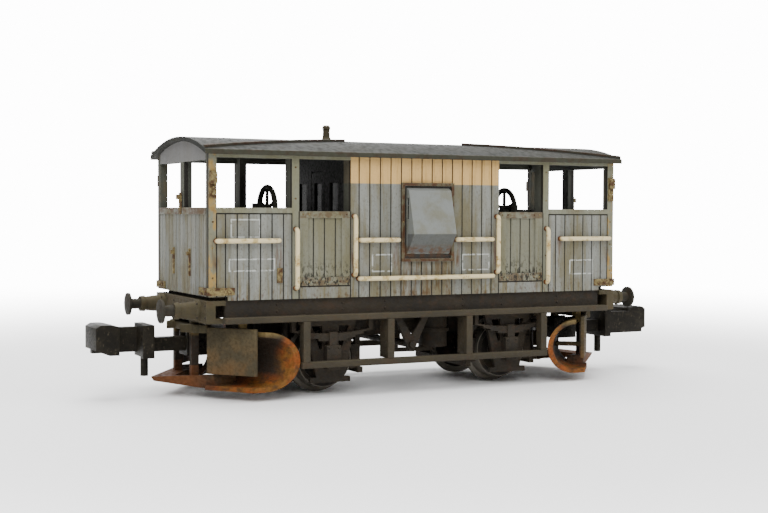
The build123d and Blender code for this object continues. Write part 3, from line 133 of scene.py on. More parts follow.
class Coat:
    """One material while it is painted: its coordinates, and the ways to mask and lay colour.

    x, y and z are the Object coordinates in millimetres; far and wide are the distances from the
    middle along X and Y, so that both halves are painted alike; edge is 1 on sharp outer edges.
    """

    def __init__(self, tree: Tree, edge_mm: float) -> None:
        """Add the coordinates that every finish starts from.

        Args:
            tree: The material's tree.
            edge_mm: Radius that the edges are softened by.
        """
        self.tree = tree
        coordinates = add_node(tree, "ShaderNodeTexCoord")
        scaled = add_node(tree, "ShaderNodeVectorMath", {"operation": "SCALE"},
                          {0: coordinates.outputs["Object"], "Scale": 1 / MM})
        self.place = scaled.outputs[0]
        self.x, self.y, self.z = add_node(tree, "ShaderNodeSeparateXYZ", None, {0: self.place}).outputs
        self.far, self.wide = (add_node(tree, "ShaderNodeMath", {"operation": "ABSOLUTE"}, {0: axis}).outputs[0]
                               for axis in (self.x, self.y))
        self.rounded = add_node(tree, "ShaderNodeBevel", {"samples": 6}, {"Radius": edge_mm * MM})
        geometry = add_node(tree, "ShaderNodeNewGeometry")
        likeness = add_node(tree, "ShaderNodeVectorMath", {"operation": "DOT_PRODUCT"},
                            {0: self.rounded, 1: geometry.outputs["Normal"]})
        self.edge = add_node(tree, "ShaderNodeMapRange", None,
                             {"Value": likeness.outputs["Value"], "From Min": 0.995, "From Max": 0.86})

    def noise(self, size: tuple[float, float, float], seed: float, low: float, high: float) -> Socket:
        """Make a soft-edged mask of blotches.

        Args:
            size: Size of a blotch along X, Y and Z in millimetres.
            seed: Offset that makes each mask differ.
            low: Noise value where the mask starts.
            high: Noise value where the mask is full.

        Returns:
            The mask's socket.
        """
        moved = add_node(self.tree, "ShaderNodeMapping", None,
                         {"Vector": self.place, "Location": (seed, seed * 1.7, seed * 0.6),
                          "Scale": tuple(1 / side for side in size)})
        cloud = add_node(self.tree, "ShaderNodeTexNoise", None,
                         {"Vector": moved, "Scale": 1.0, "Detail": 5.0, "Roughness": 0.6})
        mask = add_node(self.tree, "ShaderNodeMapRange", {"interpolation_type": "SMOOTHSTEP"},
                        {"Value": cloud.outputs["Fac"], "From Min": low, "From Max": high})
        return mask.outputs[0]

    def between(self, value: Socket, low: float, high: float, soft: float = 0.03) -> Node:
        """Make a mask that is 1 where a coordinate lies from low to high.

        Args:
            value: Coordinate to test, in millimetres.
            low: Lower limit.
            high: Upper limit.
            soft: Width of the soft edge.

        Returns:
            The mask.
        """
        rise = add_node(self.tree, "ShaderNodeMapRange", None,
                        {"Value": value, "From Min": low - soft, "From Max": low + soft})
        drop = add_node(self.tree, "ShaderNodeMapRange", None,
                        {"Value": value, "From Min": high + soft, "From Max": high - soft})
        return self.times(rise, drop)

    def times(self, *factors: Any) -> Any:
        """Multiply masks and numbers together.

        Args:
            factors: One or more sockets, nodes or numbers.

        Returns:
            The product.
        """
        total = factors[0]
        for factor in factors[1:]:
            total = add_node(self.tree, "ShaderNodeMath", {"operation": "MULTIPLY"}, {0: total, 1: factor})
        return total

    def either(self, *masks: Any) -> Any:
        """Take the largest of several masks.

        Args:
            masks: Two or more masks.

        Returns:
            The joined mask.
        """
        total = masks[0]
        for mask in masks[1:]:
            total = add_node(self.tree, "ShaderNodeMath", {"operation": "MAXIMUM"}, {0: total, 1: mask})
        return total

    def lay(self, under: Any, over: Any, *masks: Any) -> Socket:
        """Lay one colour over another where every mask agrees.

        Args:
            under: Colour socket or hex code below.
            over: Colour socket or hex code on top.
            masks: Masks and numbers that are multiplied together.

        Returns:
            The colour's socket.
        """
        lower, upper = (linear(colour) if isinstance(colour, str) else colour for colour in (under, over))
        mix = add_node(self.tree, "ShaderNodeMix", {"data_type": "RGBA", "clamp_factor": True},
                       {"Factor": self.times(*masks), 6: lower, 7: upper})
        return mix.outputs[2]


@dataclass
class Surface:
    """What a finish hands to the shader."""

    colour: Socket
    wear: Any  # mask that the roughness follows
    roughness: tuple[float, float]  # where wear is 0, and where it is 1
    height: Any


@dataclass(frozen=True)
class Finish:
    """A surface finish; a subclass says how it is coloured."""

    name: str = "finish"
    bump_mm: float = 0.03
    edge_mm: float = 0.06

    def build(self) -> bpy.types.Material:
        """Make the material.

        Returns:
            A material whose whole look comes from its nodes.
        """
        material = bpy.data.materials.new(self.name)
        material.use_nodes = True
        tree = material.node_tree
        tree.nodes.clear()
        coat = Coat(tree, self.edge_mm)
        surface = self.paint(coat)
        rough = add_node(tree, "ShaderNodeMapRange", None, {
            "Value": surface.wear, "To Min": surface.roughness[0], "To Max": surface.roughness[1]})
        bump = add_node(tree, "ShaderNodeBump", None, {
            "Strength": 0.6, "Distance": self.bump_mm * MM, "Height": surface.height, "Normal": coat.rounded})
        shader = add_node(tree, "ShaderNodeBsdfPrincipled", None,
                          {"Base Color": surface.colour, "Roughness": rough, "Normal": bump})
        self.set_constants(shader)
        add_node(tree, "ShaderNodeOutputMaterial", None, {"Surface": shader})
        return material

    def set_constants(self, shader: Node) -> None:
        """Set what is the same all over the surface, on the shader's own sockets.

        Args:
            shader: The Principled node.
        """
        shader.inputs["Specular IOR Level"].default_value = 0.3

    def paint(self, coat: Coat) -> Surface:
        """Colour the surface.

        Args:
            coat: The material's coordinates and masks.

        Returns:
            The finished surface.
        """
        raise NotImplementedError


class Wall(Enum):
    """Which way the boards of a wall follow each other."""

    SIDE = "X"
    END = "Y"


@dataclass(frozen=True)
class WeatheredBoards(Finish):
    """Airbrushed matt enamel on moulded planking: faded blue-grey, stained olive and rust, dark joints."""

    wall: Wall = Wall.SIDE
    grey: str = "#6a6c66"
    pale: str = "#7f807a"
    stain: str = "#5d5537"
    rust: str = "#452a0c"
    joint: str = "#17130e"
    cream: str = "#bd9a60"
    olive: str = "#6d6d56"
    chalk: str = "#b4b7b2"
    pitch: float = 1.25
    half_length: float = reach("body_side_left", 0)
    half_width: float = reach("body_side_left", 1)
    cabin: float = reach("bulkhead_front", 0)
    door_end: float = 14.95
    post_end: float = 15.75
    corner_post: float = 0.83
    panel_middle: float = 19.81
    sill_z: float = 10.3
    door_z: tuple[float, float] = (11.45, 19.35)
    door_stile: float = 0.9
    waist_z: float = 19.1
    opening_z: float = 19.7
    cream_z: float = 22.25
    cantrail_z: float = 24.6
    stain_spots: tuple[float, ...] = (3.8, 8.75, 17.2, 24.0)  # under the handrails' ends
    outline: float = 0.14
    panels: tuple[tuple[float, float, float, float], ...] = (  # left, right, bottom, top
        (-6.6, -4.2, 12.9, 14.8), (18.6, 21.8, 12.2, 13.9), (-22.6, -17.6, 13.2, 14.5),
        (-22.4, -19.2, 16.6, 18.5), (4.4, 7.9, 12.9, 14.7))

    def paint(self, coat: Coat) -> Surface:
        """Colour the boards; see Finish.paint for the argument and the result."""
        tree = coat.tree
        side = self.wall is Wall.SIDE
        along, far, out = (coat.x, coat.far, coat.wide) if side else (coat.y, coat.wide, coat.far)
        skin = self.half_width if side else self.half_length
        colour = self.lay_boards(coat, along, far)
        # broad olive stains that run down, thin streaks, fine mottling
        stains = coat.noise((3.0, 9.0, 9.0) if side else (9.0, 3.0, 9.0), 3.1, 0.42, 0.66)
        streaks = coat.noise((0.35, 3.0, 5.0) if side else (3.0, 0.35, 5.0), 8.3, 0.47, 0.72)
        specks = coat.noise((0.25, 0.25, 0.3), 1.2, 0.5, 0.72)
        foot = add_node(tree, "ShaderNodeMapRange", None,
                        {"Value": coat.z, "From Min": self.sill_z + 5.2, "From Max": self.sill_z})
        colour = coat.lay(colour, self.stain, stains, 0.75)
        colour = coat.lay(colour, self.stain, streaks, 0.55)
        colour = coat.lay(colour, self.stain, foot, streaks, 0.8)
        colour = coat.lay(colour, "#544f3e", specks, 0.4)
        colour = self.paint_side(coat, colour, specks, streaks) if side else self.paint_end(coat, colour)
        # rust creeps up from the bottom edge
        rusting = coat.noise((0.5, 0.5, 0.9), 6.4, 0.5, 0.66)
        low = add_node(tree, "ShaderNodeMapRange", None,
                       {"Value": coat.z, "From Min": self.sill_z + 1.9, "From Max": self.sill_z})
        colour = coat.lay(colour, self.rust, low, rusting, 0.7)
        # joints hold dirt; door boards lie behind the face too, but stay clean; inner faces get painted shade
        depth = add_node(tree, "ShaderNodeMapRange", None,
                         {"Value": out, "From Min": skin - 0.03, "From Max": skin - 0.07})
        if side:
            door = coat.times(coat.between(far, self.cabin + self.door_stile, self.door_end - self.door_stile),
                              coat.between(coat.z, 12.4, 18.7), coat.between(out, skin - 0.24, skin - 0.03))
            keep = add_node(tree, "ShaderNodeMath", {"operation": "SUBTRACT"}, {0: 1.0, 1: door})
            depth = coat.times(depth, keep)
        colour = coat.lay(colour, self.joint, depth, coat.between(out, skin - 0.5, skin + 1.0), 0.92)
        # painted shade on the inner faces, seen through the openings
        colour = coat.lay(colour, "#3d3f38", coat.between(out, -1.0, skin - 0.5), 0.85)
        colour = coat.lay(colour, self.pale, coat.edge, 0.25)
        return Surface(colour, specks, (0.72, 0.9), coat.either(specks, streaks))

    def lay_boards(self, coat: Coat, along: Socket, far: Socket) -> Socket:
        """Give each board a tone of its own.

        Args:
            coat: The material's coordinates and masks.
            along: Coordinate along the wall.
            far: Distance from the middle along the wall.

        Returns:
            The colour's socket.
        """
        tree = coat.tree
        ends = coat.between(far, self.post_end, self.half_length + 1)
        shift = add_node(tree, "ShaderNodeMapRange", None, {
            "Value": ends, "To Min": 0.5, "To Max": 0.5 - (self.panel_middle / self.pitch - 0.5) % 1.0})
        count = add_node(tree, "ShaderNodeMath", {"operation": "MULTIPLY_ADD"},
                         {0: far, 1: 1 / self.pitch, 2: shift})
        whole = add_node(tree, "ShaderNodeMath", {"operation": "FLOOR"}, {0: count})
        half = add_node(tree, "ShaderNodeMath", {"operation": "GREATER_THAN"}, {0: along, 1: 0.0})
        # 37 is more than the boards of one half, so that no two boards share a number
        index = add_node(tree, "ShaderNodeMath", {"operation": "MULTIPLY_ADD"}, {0: half, 1: 37.0, 2: whole})
        tone = add_node(tree, "ShaderNodeTexWhiteNoise", {"noise_dimensions": "1D"}, {"W": index})
        return coat.lay(self.grey, self.pale, tone.outputs["Value"], 0.75)

    def paint_end(self, coat: Coat, colour: Socket) -> Socket:
        """Add what only the ends have: a rusty rail, dim posts and a plain arch under the roof.

        Args:
            coat: The material's coordinates and masks.
            colour: Boards' colour so far.

        Returns:
            The colour's socket.
        """
        arch_z = self.cantrail_z - 0.2
        worn = coat.noise((0.8, 1.2, 0.5), 5.5, 0.35, 0.62)
        rail = coat.between(coat.z, self.waist_z - 0.15, self.opening_z + 0.05)
        colour = coat.lay(colour, self.rust, rail, worn, 0.75)
        colour = coat.lay(colour, "#6b6a6a", coat.between(coat.z, arch_z, ABOVE_ALL), 0.8)
        return coat.lay(colour, "#3f4036", coat.between(coat.z, self.opening_z, arch_z), 0.8)

    def paint_side(self, coat: Coat, colour: Socket, specks: Socket, streaks: Socket) -> Socket:
        """Add what only the long sides have: cream band, posts, doors, empty painted panels.

        Args:
            coat: The material's coordinates and masks.
            colour: Boards' colour so far.
            specks: Fine mottling mask.
            streaks: Thin streaks mask.

        Returns:
            The colour's socket.
        """
        x, z, far = coat.x, coat.z, coat.far
        past_end = self.half_length + 1
        band = coat.times(coat.between(far, -1.0, self.cabin), coat.between(z, self.cream_z, ABOVE_ALL))
        colour = coat.lay(colour, coat.lay(self.cream, "#a17f45", streaks, 0.6), band)
        # posts, waist rail and cantrail
        corner = coat.between(far, self.half_length - self.corner_post, past_end)
        rails = coat.times(coat.between(far, self.post_end, self.half_length),
                           coat.between(z, self.waist_z, self.opening_z))
        above = coat.times(coat.between(far, self.cabin, self.half_length),
                           coat.between(z, self.cantrail_z, ABOVE_ALL))
        posts = coat.either(coat.between(far, self.door_end, self.post_end), corner)
        colour = coat.lay(colour, self.olive, coat.either(posts, rails, above), 0.6)
        blotch = coat.noise((0.8, 2.0, 1.4), 9.9, 0.45, 0.62)
        colour = coat.lay(colour, "#8f7238", corner, blotch, 0.8)
        colour = coat.lay(colour, self.rust, rails, blotch, 0.25)
        # doors: browner, rusty rails, flaking at the foot
        door = coat.times(coat.between(far, self.cabin, self.door_end), coat.between(z, *self.door_z))
        colour = coat.lay(colour, "#66644c", door, 0.6)
        rails = coat.either(coat.between(z, self.door_z[1] - 0.75, self.door_z[1] + 0.05),
                            coat.between(z, self.door_z[0] - 0.05, self.door_z[0] + 1.05))
        worn = coat.noise((0.7, 0.7, 0.45), 2.7, 0.4, 0.6)
        colour = coat.lay(colour, self.rust, door, rails, worn, 0.6)
        flakes = coat.noise((0.3, 0.3, 0.55), 7.7, 0.5, 0.58)
        foot = add_node(coat.tree, "ShaderNodeMapRange", None, {"Value": z, "From Min": 14.6, "From Max": 12.4})
        colour = coat.lay(colour, "#1d1a12", door, foot, flakes, 0.95)
        # rust that runs down from the lookout and from the handrails' ends
        runs = coat.noise((0.45, 1.0, 3.5), 4.4, 0.42, 0.62)
        centre = coat.times(coat.between(far, -1.0, 3.4, 0.4), coat.between(z, 10.0, 14.2, 0.6))
        colour = coat.lay(colour, "#513d1c", centre, runs, 0.8)
        for spot in self.stain_spots:
            near = coat.times(coat.between(far, spot - 0.3, spot + 0.3, 0.25), coat.between(z, 13.4, 16.4, 0.5))
            colour = coat.lay(colour, "#4a2b0c", near, runs, 0.8)
        # thin chalky outlines of painted panels, with nothing written in them
        gaps = coat.noise((0.5, 0.5, 0.5), 11.0, 0.38, 0.5)
        for left, right, bottom, top in self.panels:
            whole = coat.times(coat.between(x, left, right), coat.between(z, bottom, top))
            inner = coat.times(coat.between(x, left + self.outline, right - self.outline),
                               coat.between(z, bottom + self.outline, top - self.outline))
            rim = add_node(coat.tree, "ShaderNodeMath", {"operation": "SUBTRACT"}, {0: whole, 1: inner})
            colour = coat.lay(colour, self.chalk, rim, gaps, 0.75)
        return coat.lay(colour, "#4c4a3e", specks, 0.12)


@dataclass(frozen=True)
class RoofPaint(Finish):
    """Matt grey enamel on a moulded roof: dusty, with tan dirt on the rain strips and eaves."""

    radius: float = 27.0  # outer skin, about the vehicle's long axis
    skin: float = 0.35
    strip_proud: float = 0.1
    eave: float = reach("roof", 1) - 0.2
    rust: str = "#2f1805"

    def paint(self, coat: Coat) -> Surface:
        """Colour the roof; see Finish.paint for the argument and the result."""
        tree = coat.tree
        across = add_node(tree, "ShaderNodeCombineXYZ", None, {"Y": coat.y, "Z": coat.z})
        arm = add_node(tree, "ShaderNodeVectorMath", {"operation": "LENGTH"}, {0: across}).outputs["Value"]
        clouds = coat.noise((8.0, 4.0, 4.0), 2.0, 0.35, 0.7)
        fine = coat.noise((0.5, 0.9, 0.5), 5.0, 0.4, 0.7)
        runs = coat.noise((0.6, 6.0, 6.0), 7.0, 0.45, 0.7)
        rusty = coat.noise((1.2, 1.2, 1.2), 9.0, 0.46, 0.6)
        colour = coat.lay("#1a1c18", "#24241d", clouds)
        colour = coat.lay(colour, "#282212", runs, 0.3)
        # rain strips, then eaves, then worn edges, then the shaded underside
        proud = self.radius + self.strip_proud
        strip = add_node(tree, "ShaderNodeMapRange", None,
                         {"Value": arm, "From Min": proud, "From Max": proud + 0.04})
        colour = coat.lay(colour, "#2f2a1d", strip, 0.8)
        colour = coat.lay(colour, self.rust, strip, rusty, 0.7)
        eave = coat.between(coat.wide, self.eave, self.eave + 3.0, 0.1)
        colour = coat.lay(colour, "#323123", eave, 0.7)
        colour = coat.lay(colour, self.rust, eave, rusty, 0.35)
        colour = coat.lay(colour, "#3b392d", coat.edge, 0.35)
        inner = self.radius - self.skin
        under = add_node(tree, "ShaderNodeMapRange", None,
                         {"Value": arm, "From Min": inner, "From Max": inner - 0.07})
        colour = coat.lay(colour, "#22221c", under, 0.8)
        return Surface(colour, fine, (0.68, 0.88), fine)


@dataclass(frozen=True)
class FrameDirt(Finish):
    """Airbrushed track dirt on moulded plastic: dark brown-grey, dusty on what faces up."""

    base: str = "#1c1812"
    brown: str = "#2a2319"
    dust: str = "#453d2e"
    rust: str = "#3f260f"

    def paint(self, coat: Coat) -> Surface:
        """Colour the dirt; see Finish.paint for the argument and the result."""
        tree = coat.tree
        geometry = add_node(tree, "ShaderNodeNewGeometry")
        facing = add_node(tree, "ShaderNodeSeparateXYZ", None, {0: geometry.outputs["Normal"]})
        top = add_node(tree, "ShaderNodeMapRange", None, {"Value": facing.outputs["Z"], "From Min": 0.3})
        clouds = coat.noise((4.0, 4.0, 2.5), 2.2, 0.35, 0.68)
        fine = coat.noise((0.4, 0.4, 0.4), 3.3, 0.35, 0.7)
        rusty = coat.noise((1.4, 1.4, 1.0), 5.1, 0.52, 0.68)
        colour = coat.lay(self.base, self.brown, clouds)
        colour = coat.lay(colour, self.rust, rusty, 0.25)
        colour = coat.lay(colour, self.dust, top, 0.55)
        colour = coat.lay(colour, self.dust, coat.edge, 0.5)
        colour = coat.lay(colour, self.dust, fine, 0.18)
        return Surface(colour, fine, (0.7, 0.92), fine)


@dataclass(frozen=True)
class PloughRust(Finish):
    """Rust-coloured enamel on a moulded plough: orange inside the blade, brown where it is dirty, with painted
    shade in the hollow and towards the middle.
    """

    dark: str = "#171108"
    hollow_x: tuple[float, float] = (16.3, 17.5)  # where the blade's hollow falls into shade
    nose_x: float = 24.2
    crown_z: float = 6.3
    arm_half: float = 4.6

    def paint(self, coat: Coat) -> Surface:
        """Colour the blade; see Finish.paint for the argument and the result."""
        tree, z = coat.tree, coat.z
        smooth = {"interpolation_type": "SMOOTHSTEP"}
        clouds = coat.noise((2.2, 2.2, 1.6), 1.4, 0.36, 0.62)
        fine = coat.noise((0.35, 0.35, 0.35), 3.4, 0.4, 0.68)
        stain = coat.noise((1.0, 1.0, 0.8), 6.1, 0.48, 0.64)
        colour = coat.lay("#763a08", "#664310", clouds)
        colour = coat.lay(colour, "#2c1b0a", stain, 0.65)
        # painted shade towards the middle and in the hollow; darker on the arms
        inner = add_node(tree, "ShaderNodeMapRange", smooth,
                         {"Value": coat.wide, "From Min": 7.6, "From Max": 4.4})
        colour = coat.lay(colour, self.dark, inner, 0.75)
        shade = add_node(tree, "ShaderNodeMapRange", smooth,
                         {"Value": coat.far, "From Min": self.hollow_x[0], "From Max": self.hollow_x[1]})
        hollow = coat.times(coat.between(coat.far, 10.0, 24.0), coat.between(z, 2.3, 9.0, 0.5))
        colour = coat.lay(colour, self.dark, shade, hollow, 0.97)
        arms = coat.times(coat.between(coat.wide, -1.0, self.arm_half), coat.between(z, 2.6, 9.0))
        colour = coat.lay(colour, self.dark, arms, 0.95)
        # brown nose, dusty crown, rubbed edges, fine dirt
        nose = coat.times(coat.between(coat.far, self.nose_x, 29.0, 0.8), coat.between(z, 1.0, 3.35))
        colour = coat.lay(colour, "#5c3310", nose, 0.8)
        crown = add_node(tree, "ShaderNodeMapRange", None,
                         {"Value": z, "From Min": self.crown_z, "From Max": self.crown_z + 0.6})
        colour = coat.lay(colour, "#65552f", crown, 0.85)
        colour = coat.lay(colour, "#84480f", coat.edge, 0.15)
        colour = coat.lay(colour, "#2b1d0f", fine, 0.35)
        return Surface(colour, fine, (0.72, 0.95), coat.either(fine, stain))


@dataclass(frozen=True)
class PlateDirt(Finish):
    """Olive-brown dirt over the plough's flat plates, with orange rust low down and round the edge."""

    def paint(self, coat: Coat) -> Surface:
        """Colour the plates; see Finish.paint for the argument and the result."""
        clouds = coat.noise((2.0, 2.0, 2.0), 4.9, 0.35, 0.68)
        fine = coat.noise((0.3, 0.3, 0.3), 2.4, 0.4, 0.7)
        low = add_node(coat.tree, "ShaderNodeMapRange", None,
                       {"Value": coat.z, "From Min": 6.5, "From Max": 2.4})
        colour = coat.lay("#342d1b", "#453b24", clouds)
        colour = coat.lay(colour, "#583812", low, clouds, 0.6)
        colour = coat.lay(colour, "#231c10", fine, 0.3)
        colour = coat.lay(colour, "#5a4f38", coat.edge, 0.5)
        return Surface(colour, fine, (0.7, 0.9), fine)


@dataclass(frozen=True)
class RailCream(Finish):
    """Brush-painted cream enamel on bent wire, rusted through where the ends enter the wall."""

    wall_y: float = reach("body_side_left", 1)
    rusted: tuple[float, float] = (0.62, 0.1)  # out from the wall: where the rust starts, and where it is full

    def paint(self, coat: Coat) -> Surface:
        """Colour the wire; see Finish.paint for the argument and the result."""
        start, full = (self.wall_y + away for away in self.rusted)
        ends = add_node(coat.tree, "ShaderNodeMapRange", {"interpolation_type": "SMOOTHSTEP"},
                        {"Value": coat.wide, "From Min": start, "From Max": full})
        patches = coat.noise((1.1, 1.1, 1.1), 3.7, 0.5, 0.62)
        fine = coat.noise((0.25, 0.25, 0.25), 6.6, 0.45, 0.7)
        colour = coat.lay("#cbbc92", "#ad9a68", patches)
        colour = coat.lay(colour, "#7d4a1a", patches, fine, 0.8)
        colour = coat.lay(colour, "#5f300f", ends)
        return Surface(colour, fine, (0.5, 0.8), fine)


@dataclass(frozen=True)
class IronRust(Finish):
    """Small moulded irons picked out in cream and rust wash."""

    def paint(self, coat: Coat) -> Surface:
        """Colour the irons; see Finish.paint for the argument and the result."""
        patches = coat.noise((0.6, 0.6, 0.6), 2.9, 0.42, 0.6)
        fine = coat.noise((0.2, 0.2, 0.2), 5.6, 0.4, 0.7)
        colour = coat.lay("#776a44", "#40260c", patches)
        colour = coat.lay(colour, "#251c10", fine, 0.45)
        colour = coat.lay(colour, "#86703f", coat.edge, 0.4)
        return Surface(colour, fine, (0.65, 0.9), fine)


@dataclass(frozen=True)
class LookoutPaint(Finish):
    """The same blue-grey enamel on a smooth moulded box, with a rusted frame round it."""

    wall_y: float = reach("body_side_left", 1)
    half: float = reach("lookout_left", 0)
    top: float = reach("lookout_left", 2)
    bottom: float = 13.95
    fold_z: float = 16.93
    rim: float = 0.4
    rim_thick: float = 0.42

    def paint(self, coat: Coat) -> Surface:
        """Colour the lookout; see Finish.paint for the argument and the result."""
        z, wide = coat.z, coat.wide
        clouds = coat.noise((2.5, 2.5, 2.0), 3.8, 0.4, 0.66)
        fine = coat.noise((0.25, 0.25, 0.4), 6.7, 0.45, 0.7)
        rusty = coat.noise((0.7, 0.7, 0.7), 8.8, 0.4, 0.58)
        colour = coat.lay("#6d706d", "#636253", clouds, 0.8)
        # the frame that lies on the wall
        face = self.wall_y + self.rim_thick
        rim = coat.times(coat.either(coat.between(coat.far, self.half - self.rim, self.half + 1),
                                     coat.between(z, self.bottom - 1, self.bottom + self.rim),
                                     coat.between(z, self.top - self.rim, self.top + 1)),
                         coat.between(wide, self.wall_y, face))
        colour = coat.lay(colour, "#4b432a", rim, 0.9)
        colour = coat.lay(colour, "#3d2108", rim, rusty, 0.9)
        # painted shade in the crease where the frame meets the wall
        gap = add_node(coat.tree, "ShaderNodeMapRange", None,
                       {"Value": wide, "From Min": self.wall_y + 0.2, "From Max": self.wall_y + 0.14})
        colour = coat.lay(colour, "#1d1914", gap, 0.95)
        # the box: pale edges, a shaded slope below the fold, rust at its foot
        colour = coat.lay(colour, "#989986", coat.edge, 0.4)
        shade = coat.times(coat.between(z, self.bottom - 1, self.fold_z, 0.05),
                           coat.between(wide, face, face + 2.5))
        colour = coat.lay(colour, "#3f4140", shade, 0.75)
        foot = coat.between(z, self.bottom + 0.45, self.bottom + 1.65, 0.3)
        colour = coat.lay(colour, "#4c2e10", foot, rusty, 0.7)
        return Surface(colour, fine, (0.6, 0.85), fine)


@dataclass(frozen=True)
class CabinPaint(Finish):
    """Dirty olive enamel on the moulded cabin ends, coloured almost black as painted shade for the deep shadow
    under the roof.
    """

    def paint(self, coat: Coat) -> Surface:
        """Colour the cabin ends; see Finish.paint for the argument and the result."""
        streaks = coat.noise((3.0, 0.6, 5.0), 2.1, 0.4, 0.68)
        fine = coat.noise((0.3, 0.3, 0.3), 5.2, 0.4, 0.7)
        # near-black colours: painted shade, not the enamel's own olive
        colour = coat.lay("#060602", "#030301", streaks)
        colour = coat.lay(colour, "#020201", fine, 0.4)
        colour = coat.lay(colour, "#0c0b06", coat.edge, 0.4)
        return Surface(colour, fine, (0.6, 0.85), fine)


@dataclass(frozen=True)
class TurnedSteel(Finish):
    """Chemically blackened turned steel, rubbed bright on the tread and flange."""

    axle_x: float = abs(middle("axle_front", 0))
    axle_z: float = middle("axle_front", 2)
    tread: float = 3.0

    def set_constants(self, shader: Node) -> None:
        """Set a part-metal surface on the shader's own socket; see Finish.set_constants."""
        shader.inputs["Metallic"].default_value = 0.55

    def paint(self, coat: Coat) -> Surface:
        """Colour the wheel; see Finish.paint for the argument and the result."""
        tree = coat.tree
        u = add_node(tree, "ShaderNodeMath", {"operation": "SUBTRACT"}, {0: coat.far, 1: self.axle_x})
        w = add_node(tree, "ShaderNodeMath", {"operation": "SUBTRACT"}, {0: coat.z, 1: self.axle_z})
        arm = add_node(tree, "ShaderNodeCombineXYZ", None, {"X": u, "Z": w})
        away = add_node(tree, "ShaderNodeVectorMath", {"operation": "LENGTH"}, {0: arm}).outputs["Value"]
        bright = coat.between(away, self.tread, 2 * self.tread, 0.06)
        fine = coat.noise((0.4, 0.4, 0.4), 4.2, 0.4, 0.7)
        dirt = coat.noise((1.5, 1.5, 1.5), 7.2, 0.42, 0.66)
        # the lathe's rings are drawn far coarser than real ones, so that they show
        rings = add_node(tree, "ShaderNodeTexWave", {"wave_type": "RINGS", "rings_direction": "SPHERICAL"},
                         {"Vector": arm, "Scale": 1.6, "Distortion": 0.3})
        colour = coat.lay("#1d1a15", "#342b1d", dirt)
        colour = coat.lay(colour, "#6e695f", bright, 0.85)
        colour = coat.lay(colour, "#8d8a80", coat.edge, 0.5)
        height = coat.either(coat.times(rings.outputs["Fac"], 0.3), coat.times(fine, 0.5))
        return Surface(colour, bright, (0.75, 0.38), height)


@dataclass(frozen=True)
class CouplerNylon(Finish):
    """Dark grey moulded nylon with the faint sheen of a mould and a few pale scuffs."""

    def set_constants(self, shader: Node) -> None:
        """Keep the sheen low, as on dusty nylon; see Finish.set_constants."""
        shader.inputs["Specular IOR Level"].default_value = 0.08

    def paint(self, coat: Coat) -> Surface:
        """Colour the coupler; see Finish.paint for the argument and the result."""
        clouds = coat.noise((2.0, 2.0, 2.0), 1.9, 0.4, 0.66)
        fine = coat.noise((0.18, 0.18, 0.18), 4.7, 0.4, 0.7)
        scuffs = coat.noise((0.25, 0.9, 0.5), 9.3, 0.6, 0.68)
        dust = coat.noise((0.9, 0.9, 0.6), 5.9, 0.5, 0.68)
        colour = coat.lay("#161410", "#1f1c16", clouds)
        colour = coat.lay(colour, "#322d23", dust, 0.3)
        colour = coat.lay(colour, "#5a5344", scuffs, 0.35)
        colour = coat.lay(colour, "#2c2820", coat.edge, 0.5)
        return Surface(colour, fine, (0.45, 0.62), fine)


@dataclass(frozen=True)
class ClearGlazing(Finish):
    """Clear styrene glazing, a little dusty."""

    def set_constants(self, shader: Node) -> None:
        """Set the pane's transmission on the shader's own sockets; see Finish.set_constants."""
        shader.inputs["Transmission Weight"].default_value = 0.85
        shader.inputs["IOR"].default_value = 1.5

    def paint(self, coat: Coat) -> Surface:
        """Colour the pane; see Finish.paint for the argument and the result."""
        film = coat.noise((0.8, 0.8, 0.8), 2.5, 0.4, 0.7)
        return Surface(coat.lay("#2a2d2b", "#1e201c", film), film, (0.08, 0.3), film)


@dataclass(frozen=True)
class BareSteel(Finish):
    """Sawn mild steel bar, dull grey with brown spots."""

    def set_constants(self, shader: Node) -> None:
        """Set the metal on the shader's own socket; see Finish.set_constants."""
        shader.inputs["Metallic"].default_value = 1.0

    def paint(self, coat: Coat) -> Surface:
        """Colour the steel; see Finish.paint for the argument and the result."""
        saw = coat.noise((4.0, 0.2, 0.2), 2.6, 0.35, 0.7)
        spots = coat.noise((0.8, 0.8, 0.8), 6.2, 0.55, 0.66)
        colour = coat.lay("#8d8d8c", "#777675", saw)
        colour = coat.lay(colour, "#5b4534", spots, 0.7)
        return Surface(colour, saw, (0.35, 0.6), saw)


